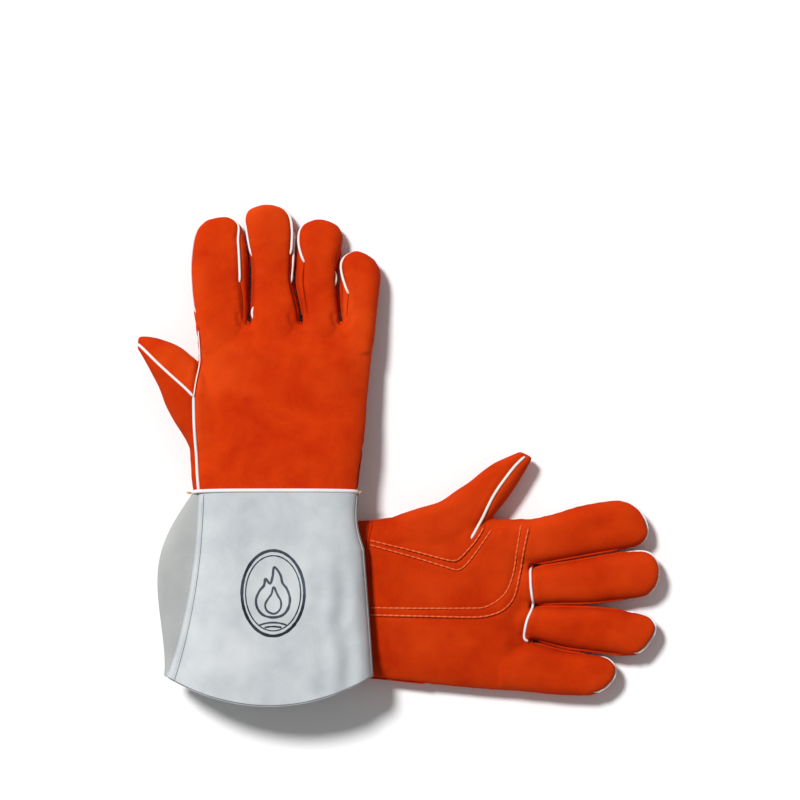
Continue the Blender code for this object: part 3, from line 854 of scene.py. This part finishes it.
def sheetOnSkin(name, glove, tree, rows, thick, material, fade):
    # a patch of leather laid on the palm: rows of (u, t) places, its edges drawn down to the skin
    grid = []
    for row, places in enumerate(rows):
        line = []
        for column, (u, t) in enumerate(places):
            place, normal = castTop(tree, u, t, -1)
            border = min(row, column, len(rows) - 1 - row, len(places) - 1 - column)
            lift = thick if border > 0 else 0.0
            lift *= min(1, (len(places) - 1 - column) / fade)  # the last edge may fade into the skin
            line.append((place + normal * lift, place - normal * 0.5))
        grid.append(line)
    across = len(rows[0])
    verts = [pair[0] for line in grid for pair in line] + [pair[1] for line in grid for pair in line]
    count = len(rows) * across
    faces = []
    for row in range(len(rows) - 1):
        for column in range(across - 1):
            a = row * across + column
            quad = [a, a + 1, a + across + 1, a + across]
            faces.append(quad)
            faces.append([index + count for index in quad[::-1]])
    border = list(range(across))
    border += [row * across + across - 1 for row in range(1, len(rows))]
    border += [(len(rows) - 1) * across + column for column in range(across - 2, -1, -1)]
    border += [row * across for row in range(len(rows) - 2, 0, -1)]
    for a, b in zip(border, border[1:] + border[:1]):
        faces.append([a, b, b + count, a + count])
    return meshPiece(name, glove, verts, faces, material)


# the cuffs: a back panel and a palm panel, whose side swells out past the thumb seam
cuffLook = {"wall": 1.5, "rows": 96, "columns": 88, "fold": 1.15, "sag": 1.1, "seamRise": 2.0}


def cuffEdges(glove, s):
    cuff = glove["cuff"]
    pinch = cuff["pinch"] * sin(pi * min(1, s / 0.3))
    low = -glove["wristHalf"] + (cuff["low"] + glove["wristHalf"]) * s**0.8 + pinch
    high = glove["wristHalf"] + (cuff["high"] - glove["wristHalf"]) * s**1.8
    bulge = 1.0 + cuff["start"] * (1 - s) ** 5
    if s < 1:
        bulge += cuff["side"] * sin(pi * s**0.75) ** 1.3
    back = glove["wristBack"] + (cuff["back"] - glove["wristBack"]) * s
    palm = glove["wristPalm"] + (cuff["palm"] - glove["wristPalm"]) * s
    return low, high, back, palm, bulge


def cuffLength(glove, t):
    # the hem is an arc, so the cuff is shorter at its sides
    cuff = glove["cuff"]
    half = (cuff["high"] - cuff["low"]) / 2
    middle = (cuff["high"] + cuff["low"]) / 2
    return cuff["length"] - cuff["sweep"] * ((t - middle) / half) ** 2


def cuffPlace(glove, s, t, w):
    return (-(wristEdge + (cuffLength(glove, t) - wristEdge) * s), t, w)


def cuffFolds(glove, s, t, side):
    # long soft folds on the little-finger side, and an easy waviness all over
    if glove["palmUp"] or side < 0:
        return 0.7 * noise.noise(Vector((s * 3.1 + side, t / 24, 3)))
    lift = cuffLook["sag"] * noise.noise(Vector((s * 2.4, t / 30, 1)))
    lift += 0.45 * noise.noise(Vector((s * 9, t / 11, 7)))
    place = float(smoothstep(-18, -46, t)) * float(smoothstep(0.16, 0.6, s))
    place *= 1 - 0.5 * float(smoothstep(0.8, 1, s))
    wave = sin((t + 5 * noise.noise(Vector((s * 4, 0, 2)))) / 3.1 + s * 2.2)
    lift += cuffLook["fold"] * place * wave
    cross = noise.noise(Vector((s * 7.5, t / 46, 15)))
    lift += 0.9 * float(smoothstep(0.55, 0.95, s)) * cross  # creases along the hem
    return lift


def cuffBackPoint(glove, s, x):
    low, high, back, _, _ = cuffEdges(glove, s)
    t = (low + high) / 2 + (high - low) / 2 * x
    height = back * crown(x)
    fade = min(1, s / 0.06) * (1 - abs(x) ** 12)
    lift = cuffFolds(glove, s, t, 1) * fade
    ridge = cuffLook["seamRise"] * np.exp(-((x - 0.965) / 0.03) ** 2) * min(1, s / 0.05)  # the side seam
    return cuffPlace(glove, s, t, height + lift + ridge + 0.6)


def cuffPalmPoint(glove, s, x):
    # x from 1 at the thumb seam, round the swelling, under the glove, to -1 at the little seam
    low, high, _, palm, bulge = cuffEdges(glove, s)
    lobe = 0.5
    inner = high - 1.2
    top = 1.0
    if x > 1 - lobe:
        part = (1 - x) / lobe
        turn = pi / 2 - pi * part  # over the top of the swelling and back under it
        t = inner + (bulge + 1.2) * max(0, cos(turn)) ** 0.8
        w = (top - palm) / 2 + (top + palm) / 2 * sin(turn)
        lift = 0.8 * noise.noise(Vector((s * 3, part * 2.0, 21))) * max(0, cos(turn))
        return cuffPlace(glove, s, t, w + lift)
    part = max(0, (x + 1) / (2 - lobe))  # 0 at the little seam, 1 under the swelling
    t = low + (inner - low) * part
    edge = min(1, part / 0.10)
    w = -palm * (1 - (1 - edge) ** 2.4) ** 0.5
    return cuffPlace(glove, s, t, w + cuffFolds(glove, s, t, -1) * edge * (1 - part) * 0.5)


def cuffPanel(name, glove, pointAt, material):
    rows, columns = cuffLook["rows"], cuffLook["columns"]
    verts, faces = [], []
    for row in range(rows + 1):
        s = row / rows
        for column in range(columns + 1):
            x = 1 - 2 * column / columns
            x = np.sign(x) * (1 - (1 - abs(x)) ** 1.35)  # closer together near the edges
            verts.append(pointAt(glove, s, float(x)))
    across = columns + 1
    for row in range(rows):
        for column in range(columns):
            a = row * across + column
            faces.append([a, a + 1, a + across + 1, a + across])
    mesh = bpy.data.meshes.new(name)
    mesh.from_pydata(toWorld(glove, verts).tolist(), [], faces)
    mesh.materials.append(material)
    piece = linkPiece(name, mesh)
    mesh.update()
    # the wall goes inwards, whichever way the faces run
    middle = mesh.polygons[len(mesh.polygons) // 2]
    up = 1 if (pointAt is cuffBackPoint) != glove["palmUp"] else -1
    if middle.normal.z * up < 0:
        mesh.flip_normals()
    wall = piece.modifiers.new("wall", "SOLIDIFY")
    wall.thickness = cuffLook["wall"] * mm
    wall.offset = -1
    wall.use_even_offset = True
    bpy.context.view_layer.objects.active = piece
    bpy.ops.object.modifier_apply(modifier=wall.name)
    edge = piece.modifiers.new("edge", "BEVEL")
    edge.width = 0.4 * mm
    edge.segments = 2
    edge.limit_method = "ANGLE"
    edge.angle_limit = radians(55)
    bpy.ops.object.modifier_apply(modifier=edge.name)
    piece.data.shade_smooth()
    piece.data.set_sharp_from_angle(angle=radians(50))
    return piece


def cuffSeam(glove, x, lift):
    return [np.array(cuffBackPoint(glove, s, x)) + (0, 0, lift) for s in np.linspace(0.01, 0.995, 80)]


def liningPiece(name, glove, material):
    # the fleece tube inside the hand
    rows = np.linspace(2, glove["palmLength"] - 26, 40)
    hand = np.array(glove["hand"])
    verts, faces = [], []
    for inset in (3.0, 4.4):
        for u in rows:
            low = np.interp(u, hand[:, 0], hand[:, 1]) + inset
            high = min(np.interp(u, hand[:, 0], hand[:, 2]), glove["wristHalf"]) - inset
            ring = sectionRing((u, low), (u, high), glove["wristBack"] - inset, glove["wristPalm"] - inset)
            for point in ring:
                fluff = 0.35 * noise.noise(Vector(point) / 3.0)
                verts.append(point + np.array((0, fluff, fluff)))
    across = ringSteps
    layer = len(rows) * across
    for side in (0, 1):
        for row in range(len(rows) - 1):
            for column in range(across):
                after = (column + 1) % across
                a = side * layer + row * across
                quad = [a + column, a + after, a + across + after, a + across + column]
                faces.append(quad if side == 0 else quad[::-1])
    for row in (0, len(rows) - 1):
        for column in range(across):
            after = (column + 1) % across
            a = row * across
            faces.append([a + column, a + after, layer + a + after, layer + a + column])
    return meshPiece(name, glove, verts, faces, material)


# shader groups
def newGroup(name, inputs, outputs):
    group = bpy.data.node_groups.new(name, "ShaderNodeTree")
    for label, kind, value in inputs:
        socket = group.interface.new_socket(name=label, in_out="INPUT", socket_type=kind)
        socket.default_value = value
    for label, kind in outputs:
        group.interface.new_socket(name=label, in_out="OUTPUT", socket_type=kind)
    return group, group.nodes.new("NodeGroupInput"), group.nodes.new("NodeGroupOutput")


def addNode(tree, kind, links=None, **settings):
    node = tree.nodes.new(kind)
    for key, value in settings.items():
        if key in node.inputs:
            node.inputs[key].default_value = value
        else:
            setattr(node, key, value)
    for socket, source in (links or {}).items():
        tree.links.new(source, node.inputs[socket])
    return node


def rangeNode(tree, source, low, high):
    return addNode(tree, "ShaderNodeMapRange", {"Value": source}, **{"From Min": low, "From Max": high})


def suedeGroup():
    # the raised nap of split leather: fine fibres, mottling and rubbed patches
    group, start, end = newGroup(
        "splitNap",
        [("Scale", "NodeSocketFloat", 1.0)],
        [("Height", "NodeSocketFloat"), ("Mottle", "NodeSocketFloat"), ("Rub", "NodeSocketFloat")],
    )
    place = addNode(group, "ShaderNodeTexCoord")
    sized = addNode(
        group, "ShaderNodeVectorMath",
        {0: place.outputs["Object"], "Scale": start.outputs["Scale"]}, operation="SCALE",
    )

    def noiseNode(scale, detail, roughness, distortion=0.0):
        return addNode(
            group, "ShaderNodeTexNoise", {"Vector": sized.outputs[0]},
            Scale=scale, Detail=detail, Roughness=roughness, Distortion=distortion,
        ).outputs[0]

    fine = noiseNode(2600.0, 3.0, 0.6)
    grain = noiseNode(620.0, 4.0, 0.62)
    pores = addNode(group, "ShaderNodeTexVoronoi", {"Vector": sized.outputs[0]}, Scale=900.0)
    mixed = addNode(group, "ShaderNodeMath", {0: fine, 1: grain}, operation="ADD")
    height = addNode(
        group, "ShaderNodeMath", {0: pores.outputs[0], 2: mixed.outputs[0]}, operation="MULTIPLY_ADD"
    )
    height.inputs[1].default_value = 0.25
    mottle = rangeNode(group, noiseNode(38.0, 5.0, 0.6, 0.4), 0.32, 0.7)
    rub = rangeNode(group, noiseNode(13.0, 3.0, 0.55), 0.5, 0.72)
    for label, node in (("Height", height), ("Mottle", mottle), ("Rub", rub)):
        group.links.new(node.outputs[0], end.inputs[label])
    return group


def linear(*tone):
    shares = [c / 255 for c in tone]
    return tuple(c / 12.92 if c <= 0.04045 else ((c + 0.055) / 1.055) ** 2.4 for c in shares) + (1.0,)


usual = {
    "fleck": (0.9, 0.85, 0.8, 1), "sheen": 0.0, "sheenTint": (1, 1, 1, 1), "shine": 0.06,
    "rough": 0.93, "bump": 0.5, "depth": 0.12, "scale": 1.0,
}


def mixNode(tree, factor, first, second, blend="MIX"):
    # second is a constant colour, and first is one too or a socket
    node = addNode(tree, "ShaderNodeMix", {"Factor": factor}, data_type="RGBA", blend_type=blend)
    if isinstance(first, tuple):
        node.inputs[6].default_value = first
    else:
        tree.links.new(first, node.inputs[6])
    node.inputs[7].default_value = second
    return node.outputs[2]


def leatherMaterial(name, nap, plan):
    plan = {**usual, **plan}
    dark, light, rub = (linear(*tone) for tone in plan["tones"])
    material = bpy.data.materials.new(name)
    material.use_nodes = True
    tree = material.node_tree
    surface = tree.nodes["Principled BSDF"]
    surface.inputs["Specular IOR Level"].default_value = plan["shine"]
    surface.inputs["Sheen Weight"].default_value = plan["sheen"]
    surface.inputs["Sheen Roughness"].default_value = 0.45
    surface.inputs["Sheen Tint"].default_value = plan["sheenTint"]
    effect = addNode(tree, "ShaderNodeGroup", node_tree=nap)
    effect.inputs["Scale"].default_value = plan["scale"]
    tone = mixNode(tree, effect.outputs["Mottle"], dark, light)
    rubbed = mixNode(tree, effect.outputs["Rub"], tone, rub)
    fleck = rangeNode(tree, effect.outputs["Height"], 0.75, 1.45)
    shaded = mixNode(tree, fleck.outputs[0], rubbed, plan["fleck"], "MULTIPLY")
    tree.links.new(shaded, surface.inputs["Base Color"])
    rough = addNode(
        tree, "ShaderNodeMapRange", {"Value": effect.outputs["Rub"]},
        **{"To Min": plan["rough"], "To Max": plan["rough"] - 0.1},
    )
    tree.links.new(rough.outputs[0], surface.inputs["Roughness"])
    bump = addNode(
        tree, "ShaderNodeBump", {"Height": effect.outputs["Height"]},
        Strength=plan["bump"], Distance=plan["depth"] * mm,
    )
    tree.links.new(bump.outputs[0], surface.inputs["Normal"])
    return material


finishes = {
    "orangeSplit": {
        "tones": ((192, 44, 3), (212, 61, 7), (221, 74, 16)),
        "fleck": (0.9, 0.84, 0.8, 1), "sheen": 0.04, "sheenTint": (1, 0.45, 0.25, 1),
    },
    "palmSplit": {
        "tones": ((180, 41, 2), (200, 54, 4), (208, 62, 9)),
        "fleck": (0.9, 0.82, 0.78, 1), "sheen": 0.03, "sheenTint": (1, 0.4, 0.2, 1),
        "scale": 1.1,
    },
    # a darker copy of the palm leather for the open seams: partly the seam's own dark joint, partly painted
    # shade in their grooves
    "seamShade": {
        "tones": ((150, 32, 3), (168, 38, 4), (176, 42, 6)),
        "sheenTint": (1, 0.4, 0.2, 1), "shine": 0.05, "rough": 0.95, "bump": 0.3, "depth": 0.1,
    },
    "paleSplit": {
        "tones": ((182, 188, 192), (203, 207, 209), (214, 217, 219)),
        "fleck": (0.95, 0.95, 0.95, 1), "sheen": 0.03, "shine": 0.15, "rough": 0.88,
        "bump": 0.45, "scale": 0.9,
    },
    # the cuff's palm panel: a greyer, darker copy of the pale cuff leather, partly its own grey tone, partly
    # painted shade of the side that swells out and turns from the light
    "greySplitPaintedShade": {
        "tones": ((165, 167, 166), (176, 178, 176), (183, 184, 182)),
        "fleck": (0.94, 0.94, 0.94, 1), "sheen": 0.03, "shine": 0.15, "rough": 0.9, "bump": 0.45,
        "scale": 0.9,
    },
    "whitePiping": {
        "tones": ((232, 226, 228), (242, 240, 244), (240, 228, 212)),
        "fleck": (0.97, 0.96, 0.95, 1), "shine": 0.35, "rough": 0.55, "bump": 0.25,
        "depth": 0.06, "scale": 1.6,
    },
    "orangeThread": {
        "tones": ((220, 90, 40), (232, 104, 50), (234, 112, 58)),
        "fleck": (0.92, 0.88, 0.85, 1), "sheen": 0.05, "sheenTint": (1, 0.6, 0.4, 1),
        "shine": 0.3, "rough": 0.6, "bump": 0.4, "depth": 0.05, "scale": 2.2,
    },
    "tanThread": {
        "tones": ((196, 160, 108), (214, 180, 130), (222, 190, 142)),
        "fleck": (0.9, 0.88, 0.85, 1), "sheenTint": (1, 0.9, 0.7, 1), "shine": 0.25,
        "rough": 0.7, "bump": 0.4, "depth": 0.05, "scale": 2.2,
    },
    # dark grey lines on the cuff: painted shade of the groove beside the thumb-side seam, and a dark line
    # along the hem
    "hemLineAndGrooveShade": {
        "tones": ((104, 108, 114), (128, 132, 138), (150, 152, 156)),
        "fleck": (0.9, 0.9, 0.9, 1), "shine": 0.2, "rough": 0.8, "bump": 0.3, "depth": 0.05,
        "scale": 2.0,
    },
    "fleece": {
        "tones": ((206, 194, 170), (226, 216, 196), (230, 222, 206)),
        "fleck": (0.85, 0.84, 0.8, 1), "sheen": 0.3, "sheenTint": (1, 1, 0.95, 1), "shine": 0.1,
        "rough": 1.0, "bump": 0.9, "depth": 0.5, "scale": 0.6,
    },
    "blackInk": {
        "tones": ((20, 24, 32), (34, 40, 52), (78, 86, 98)),
        "fleck": (0.9, 0.9, 0.9, 1), "shine": 0.2, "rough": 0.75, "bump": 0.3, "depth": 0.05,
        "scale": 1.3,
    },
}


# the printed mark on the back of the right cuff: a flame in an oval, no lettering
mark = {
    "u": -71.0, "t": 2.6, "wide": 44.0, "high": 60.0, "stroke": 1.75, "lift": 0.10, "thick": 0.16,
}
flameOutline = [
    (0.0, -17), (-6.8, -15.4), (-11, -10.6), (-12, -4.4), (-9.6, 1.6), (-6.4, 5.6), (-5.4, 10.2),
    (-2.2, 6.8), (-0.4, 11.6), (0.8, 18.4), (5.0, 13.2), (6.6, 7.2), (9.6, 3.2), (11.8, -3.6),
    (10.6, -10.6), (6.6, -15.4),
]
innerFlame = [
    (0.0, -14.4), (-4.2, -12.4), (-5.6, -8.2), (-3.6, -4.0), (-1.2, -0.6), (0.4, 4.4), (3.0, -1.0),
    (5.4, -5.4), (5.4, -10.0), (3.2, -13.2),
]


def closedCurve(corners, steps=6):
    corners = np.array(corners, float)
    wrapped = np.vstack([corners[-1:], corners, corners[:2]])
    line = []
    for index in range(1, len(wrapped) - 2):
        line += [spline(*wrapped[index - 1 : index + 3], step / steps) for step in range(steps)]
    return np.array(line)


def inkStroke(verts, faces, line, stroke, ground, looped=True):
    # a flat printed line with a hand-cut, slightly uneven edge, laid on the leather
    line = np.array(line, float)
    count = len(line)
    ahead = np.roll(line, -1, axis=0) - np.roll(line, 1, axis=0)
    if not looped:
        ahead = np.gradient(line, axis=0)
    ahead /= np.maximum(np.linalg.norm(ahead, axis=1), 1e-9)[:, None]
    side = np.column_stack([-ahead[:, 1], ahead[:, 0]])
    start = len(verts)
    for index in range(count):
        wobble = 1 + 0.3 * noise.noise(Vector((line[index][0] / 3, line[index][1] / 3, 4)))
        for across in (-1, 1):
            place = line[index] + side[index] * across * stroke / 2 * wobble
            floor_ = ground(place[0], place[1])
            for lift in (mark["lift"] - mark["thick"], mark["lift"]):
                verts.append(floor_ + np.array((0, 0, lift)))
    last = count if looped else count - 1
    for index in range(last):
        a = start + index * 4
        b = start + (index + 1) % count * 4
        for first, second in ((1, 3), (3, 2), (2, 0), (0, 1)):
            faces.append([a + first, a + second, b + second, b + first])
    if not looped:
        faces.append([start, start + 1, start + 3, start + 2])
        end = start + (count - 1) * 4
        faces.append([end, end + 2, end + 3, end + 1])


def inkMark(name, glove, material):
    def ground(across, along):
        u = mark["u"] + along
        t = mark["t"] - across
        s = (-u - wristEdge) / (cuffLength(glove, t) - wristEdge)
        low, high, _, _, _ = cuffEdges(glove, s)
        x = (t - (low + high) / 2) / ((high - low) / 2)
        return np.array(cuffBackPoint(glove, s, x))

    verts, faces = [], []
    turns = np.linspace(0, 2 * pi, 121)[:-1]
    for share, stroke in ((1.0, 2.1), (0.88, 0.9)):
        ring = [(mark["wide"] / 2 * share * cos(a), mark["high"] / 2 * share * sin(a)) for a in turns]
        inkStroke(verts, faces, ring, stroke, ground)
    inkStroke(verts, faces, closedCurve(flameOutline), mark["stroke"], ground)
    inkStroke(verts, faces, closedCurve(innerFlame), mark["stroke"] * 0.8, ground)
    for along, half in ((-20.6, 9.5), (-23.4, 6.0)):
        bar = [(x, along - 0.02 * x * x) for x in np.linspace(-half, half, 16)]
        inkStroke(verts, faces, bar, 1.3, ground, False)
    return meshPiece(name, glove, verts, faces, material, False)


def offsetLine(corners, away):
    corners = np.array(corners, float)
    ahead = np.gradient(corners, axis=0)
    ahead /= np.linalg.norm(ahead, axis=1)[:, None]
    return corners + np.column_stack([ahead[:, 1], -ahead[:, 0]]) * away


def alongLine(corners, count):
    # places evenly spaced along a line of corners
    corners = smoothRows(corners, 6)
    lengths = lengthsOf(corners)
    return atLengths(corners, lengths, np.linspace(0, lengths[-1], count))


def patchRows(first, second, rows, columns):
    # a grid of places between two edges of a patch
    low, high = alongLine(first, rows), alongLine(second, rows)
    shares = [column / (columns - 1) for column in range(columns)]
    return [[low[row] + (high[row] - low[row]) * share for share in shares] for row in range(rows)]


patch = {"thick": 0.8, "margin": 1.5}


def palmPatches(glove, tree):
    # the reinforcing patch, the saddle patch of the thumb and the strip inside the wrist
    outer = offsetLine(fitPalm(glove, sewing["patchOuter"]), patch["margin"])
    inner = offsetLine(fitPalm(glove, sewing["saddleB"]), patch["margin"] * 0.4)
    low = offsetLine(fitPalm(glove, sewing["saddleA"]), patch["margin"] * 0.3)
    top = glove["thumbCut"][1] - 5
    high = [(15.5, 51.5), (30, 54), (48, top), (66, top), (84, top), (97, top - 0.5)]
    strip = (palmSeams if glove["palmUp"] else palmSeamsRight)["strip"]
    wrist = [(2.4, t * 0.98) for _, t in strip]
    thin = patch["thick"] * 0.6
    plans = (
        ("PalmPatch", "palm_patch", patchRows(outer, inner, 96, 48), patch["thick"], 1),
        ("ThumbPatch", "thumb_patch", patchRows(low, fitPalm(glove, high), 80, 24), thin, 10),
        ("WristStrip", "wrist_strip", patchRows([(u - 0.4, t) for u, t in strip], wrist, 90, 10), thin, 1),
    )
    for label, node, rows, thick, fade in plans:
        piece = sheetOnSkin(glove["side"] + label, glove, tree, rows, thick, stuff["palmSplit"], fade)
        attach(piece, glove, "hand", "palm_leather", node)


def stitchPiece(name, glove, runs, material, lift):
    verts, faces = [], []
    for run in runs:
        stitchRow(verts, faces, run, lift)
    return meshPiece(name, glove, verts, faces, material)


def threadTuft(name, glove, places, material):
    # loose thread ends where the wrist seam was tied off
    verts, faces = [], []
    for u, t, w, side in places:
        for _ in range(7):
            lean = random.uniform(-0.9, 0.9)
            spread = random.uniform(2.0, 4.2)
            curl = random.uniform(-1.2, 1.2)
            line = []
            for step in range(7):
                part = step / 6
                line.append((
                    u + curl * sin(part * 2.6) + lean * part * 1.4,
                    t + side * spread * part,
                    w + 0.6 * sin(part * 3.0) + random.uniform(-0.12, 0.12),
                ))
            tubeInto(verts, faces, line, 0.24, 5)
    return meshPiece(name, glove, verts, faces, material)


def wristRing(glove):
    # the piped seam between the hand and the cuff, all the way round
    rows = np.array(glove["hand"])
    low = np.interp(0, rows[:, 0], rows[:, 1]) - 0.2
    high = np.interp(0, rows[:, 0], rows[:, 2]) + 0.2
    ring = sectionRing((0, low), (0, high), glove["wristBack"] + 0.5, glove["wristPalm"] + 0.3)
    rounds = closedRing(ring, 150)
    verts, faces = [], []
    tubeInto(verts, faces, rounds - (0.2, 0, 0), 1.35, 10, True)
    return verts, faces


def closedRing(ring, count):
    # a ring with its points evenly spaced
    ring = np.vstack([ring, ring[:1]])
    lengths = lengthsOf(ring)
    return atLengths(ring, lengths, np.linspace(0, lengths[-1], count + 1)[:-1])


def bodyJoin(glove, part):
    # the two ends of the stretch that bends between the hand and a digit
    if part == "thumb":
        slope, height = glove["thumbCut"]
        start = np.array((60.0, height + 0.6 - slope * 60, 0))
        end = start + np.array((slope, 1.0, 0)) * 15
    else:
        middle, _ = fingerFrame(glove, part, glove["webEnd"])
        start = np.array((glove["webEnd"] + 1.0, middle, 0))
        end = start + np.array((16.0, 0, 0))
    return toWorld(glove, [start, end])


def attach(piece, glove, part, slot, *nodes):
    side = glove["side"]
    if part == "hand":
        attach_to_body(piece, side + "_hand")
    else:
        start, end = bodyJoin(glove, part)
        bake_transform(piece)
    if nodes:
        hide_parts(*[side + "_" + node for node in nodes])
    return piece


nap = suedeGroup()
stuff = {name: leatherMaterial(name, nap, plan) for name, plan in finishes.items()}
print("materials made:", ", ".join(stuff))


# cords along the hand's seams: their label, radius, material and node
handCords = {
    "little": ("LittleSideWelt", 0.8, "palmSplit", "little_side_welt"),
    "thumbSide": ("ThumbSideWelt", 1.15, "whitePiping", "thumb_side_welt"),
    "crotch": ("CrotchWelt", 0.5, "whitePiping", "crotch_welt"),
    "base": ("FingerBaseWelt", 0.95, "whitePiping", "finger_base_welt"),
}


def skinPanels(glove, panels):
    for (part, onBack), panel in sorted(panels.items()):
        outer = stuff["orangeSplit"] if onBack else stuff["palmSplit"]
        name = glove["side"] + part.capitalize() + ("Back" if onBack else "Palm")
        piece = shellPiece(name, glove, panel, leather["wall"], [outer, stuff["fleece"]])
        node = part + ("_back" if onBack else ("_palm" if part == "hand" else "_front"))
        attach(piece, glove, part, "hand_leather" if onBack else "palm_leather", node)
        print(" ", name, len(piece.data.polygons), "faces")


def fingerSeams(glove, tree, lines, name):
    label = glove["side"] + name.capitalize()
    cord = cordPiece(
        label + "Welt", glove, tree, lines["piping"][name], pipe["radius"], stuff["whitePiping"],
        pipe["sink"], passes=pipe["ease"], tuck=2,
    )
    attach(cord, glove, name, "welt_leather", name + "_welt")
    seam = cordPiece(
        label + "SideSeam", glove, tree, lines["flank"][name], 1.05, stuff["palmSplit"], 0.5, tuck=4
    )
    attach(seam, glove, name, "hand_leather")
    if any(lines["open"][name]):
        # the open seams in a darker copy of the palm leather: the seam's own joint with painted shade in its
        # groove
        seam = cordPiece(
            label + "Seam", glove, tree, lines["open"][name], 0.42, stuff["seamShade"], -0.62, 6, tuck=5
        )
        attach(seam, glove, name, "hand_leather")


def handSeams(glove, tree, lines):
    side = glove["side"]
    cord = cordPiece(
        side + "ThumbWelt", glove, tree, lines["thumb"], pipe["radius"] * 1.1, stuff["whitePiping"],
        pipe["sink"],
    )
    attach(cord, glove, "thumb", "welt_leather", "thumb_welt")
    for name, (label, radius, paint, node) in handCords.items():
        cord = cordPiece(side + label, glove, tree, [lines["hand"][name]], radius, stuff[paint])
        attach(cord, glove, "hand", "welt_leather", node)


def palmSewing(glove, tree, lines):
    side = glove["side"]
    ridge = cordPiece(
        side + "WristRidge", glove, tree, [lines["hand"]["strip"]], 0.95, stuff["palmSplit"], 0.35
    )
    attach(ridge, glove, "hand", "palm_leather")
    gussets = meshPiece(side + "Gussets", glove, *crotchPlugs(glove), stuff["palmSplit"])
    attach(gussets, glove, "hand", "hand_leather")
    runs = [lines["hand"][name] for name in sewing]
    rows = stitchPiece(side + "PalmStitches", glove, runs, stuff["orangeThread"], 0.75)
    attach(rows, glove, "hand", "welt_leather")


def cuffPieces(glove):
    side = glove["side"]
    back = cuffPanel(side + "CuffBack", glove, cuffBackPoint, stuff["paleSplit"])
    attach(back, glove, "hand", "cuff_leather", "cuff_back")
    # its greyer colour is partly the panel's own tone, partly painted shade of its swelling side
    palm = cuffPanel(side + "CuffPalm", glove, cuffPalmPoint, stuff["greySplitPaintedShade"])
    attach(palm, glove, "hand", "cuff_leather", "cuff_palm")
    for label, x in (("Thumb", 1.0), ("Little", -1.0)):
        verts, faces = [], []
        tubeInto(verts, faces, cuffSeam(glove, x, 0.3), 0.9, 8)
        welt = meshPiece(side + "Cuff" + label + "Welt", glove, verts, faces, stuff["paleSplit"])
        attach(welt, glove, "hand", "welt_leather", "cuff_" + label.lower() + "_welt")
    # a dark cord beside the thumb-side seam ridge as painted shade of its groove, and a dark line along the
    # hem
    verts, faces = [], []
    tubeInto(verts, faces, cuffSeam(glove, 0.925, -0.12), 0.34, 6)
    hem = [np.array(cuffBackPoint(glove, 0.994, x)) for x in np.linspace(-0.985, 0.985, 120)]
    tubeInto(verts, faces, [place + (0, 0, 0.1) for place in hem], 0.38, 6)
    seams = meshPiece(side + "CuffGrooveShadeAndHem", glove, verts, faces, stuff["hemLineAndGrooveShade"])
    attach(seams, glove, "hand", "cuff_leather")


def buildGlove(glove):
    side = glove["side"]
    anchorGlove(glove)
    body = buildSkin(glove)
    tree = treeOf(body.data)
    lines = gatherLines(glove, tree)
    settleSkin(body, lines)
    settled = treeOf(body.data)
    skinPanels(glove, cutSkin(glove, body))
    bpy.data.objects.remove(body)
    for name in glove["fingers"]:
        fingerSeams(glove, tree, lines, name)
    handSeams(glove, tree, lines)
    palmPatches(glove, settled)
    palmSewing(glove, tree, lines)
    wrist = meshPiece(side + "WristWelt", glove, *wristRing(glove), stuff["whitePiping"])
    attach(wrist, glove, "hand", "welt_leather", "wrist_welt")
    lining = liningPiece(side + "HandLining", glove, stuff["fleece"])
    attach(lining, glove, "hand", "lining_fleece", "hand_lining")
    cuffPieces(glove)
    ends = [(-0.8, 60.5, 0.5, 1), (-0.5, -56.6, 0.5, -1)]
    tufts = threadTuft(side + "ThreadEnds", glove, ends, stuff["tanThread"])
    attach(tufts, glove, "hand", "welt_leather")
    if not glove["palmUp"]:
        attach(inkMark(side + "CuffMark", glove, stuff["blackInk"]), glove, "hand", "cuff_leather")
    print(side, "glove built")


for glove in (leftGlove, rightGlove):
    buildGlove(glove)

# the floor, the lights and the camera, straight above
stage = {
    "floor": (0.96, 0.96, 0.96, 1), "sky": 0.26, "sun": 3.3, "sunTurn": (radians(-27), radians(-27), 0),
    "softness": radians(11), "camera": (0.0018, 0.0389, 3.02), "lens": 190.1,
}
bpy.ops.mesh.primitive_plane_add(size=8, location=(0, 0, 0))
floor = bpy.context.active_object
floor.name = "paleFloor"
floorPaint = bpy.data.materials.new("paleFloor")
floorPaint.use_nodes = True
floorPaint.node_tree.nodes["Principled BSDF"].inputs["Base Color"].default_value = stage["floor"]
floorPaint.node_tree.nodes["Principled BSDF"].inputs["Roughness"].default_value = 1.0
floorPaint.node_tree.nodes["Principled BSDF"].inputs["Specular IOR Level"].default_value = 0.0
floor.data.materials.append(floorPaint)

sky = bpy.data.worlds.new("studio")
sky.use_nodes = True
sky.node_tree.nodes["Background"].inputs["Color"].default_value = (1, 1, 1, 1)
sky.node_tree.nodes["Background"].inputs["Strength"].default_value = stage["sky"]
bpy.context.scene.world = sky
bpy.ops.object.light_add(type="SUN", rotation=stage["sunTurn"])
sun = bpy.context.active_object
sun.data.energy = stage["sun"]
sun.data.angle = stage["softness"]

bpy.ops.object.camera_add(location=stage["camera"], rotation=(0, 0, 0))
camera = bpy.context.active_object
camera.data.sensor_width = 36
camera.data.lens = stage["lens"]
camera.data.clip_end = 20
bpy.context.scene.camera = camera
bpy.context.scene.view_settings.view_transform = "Standard"
print("stage set")
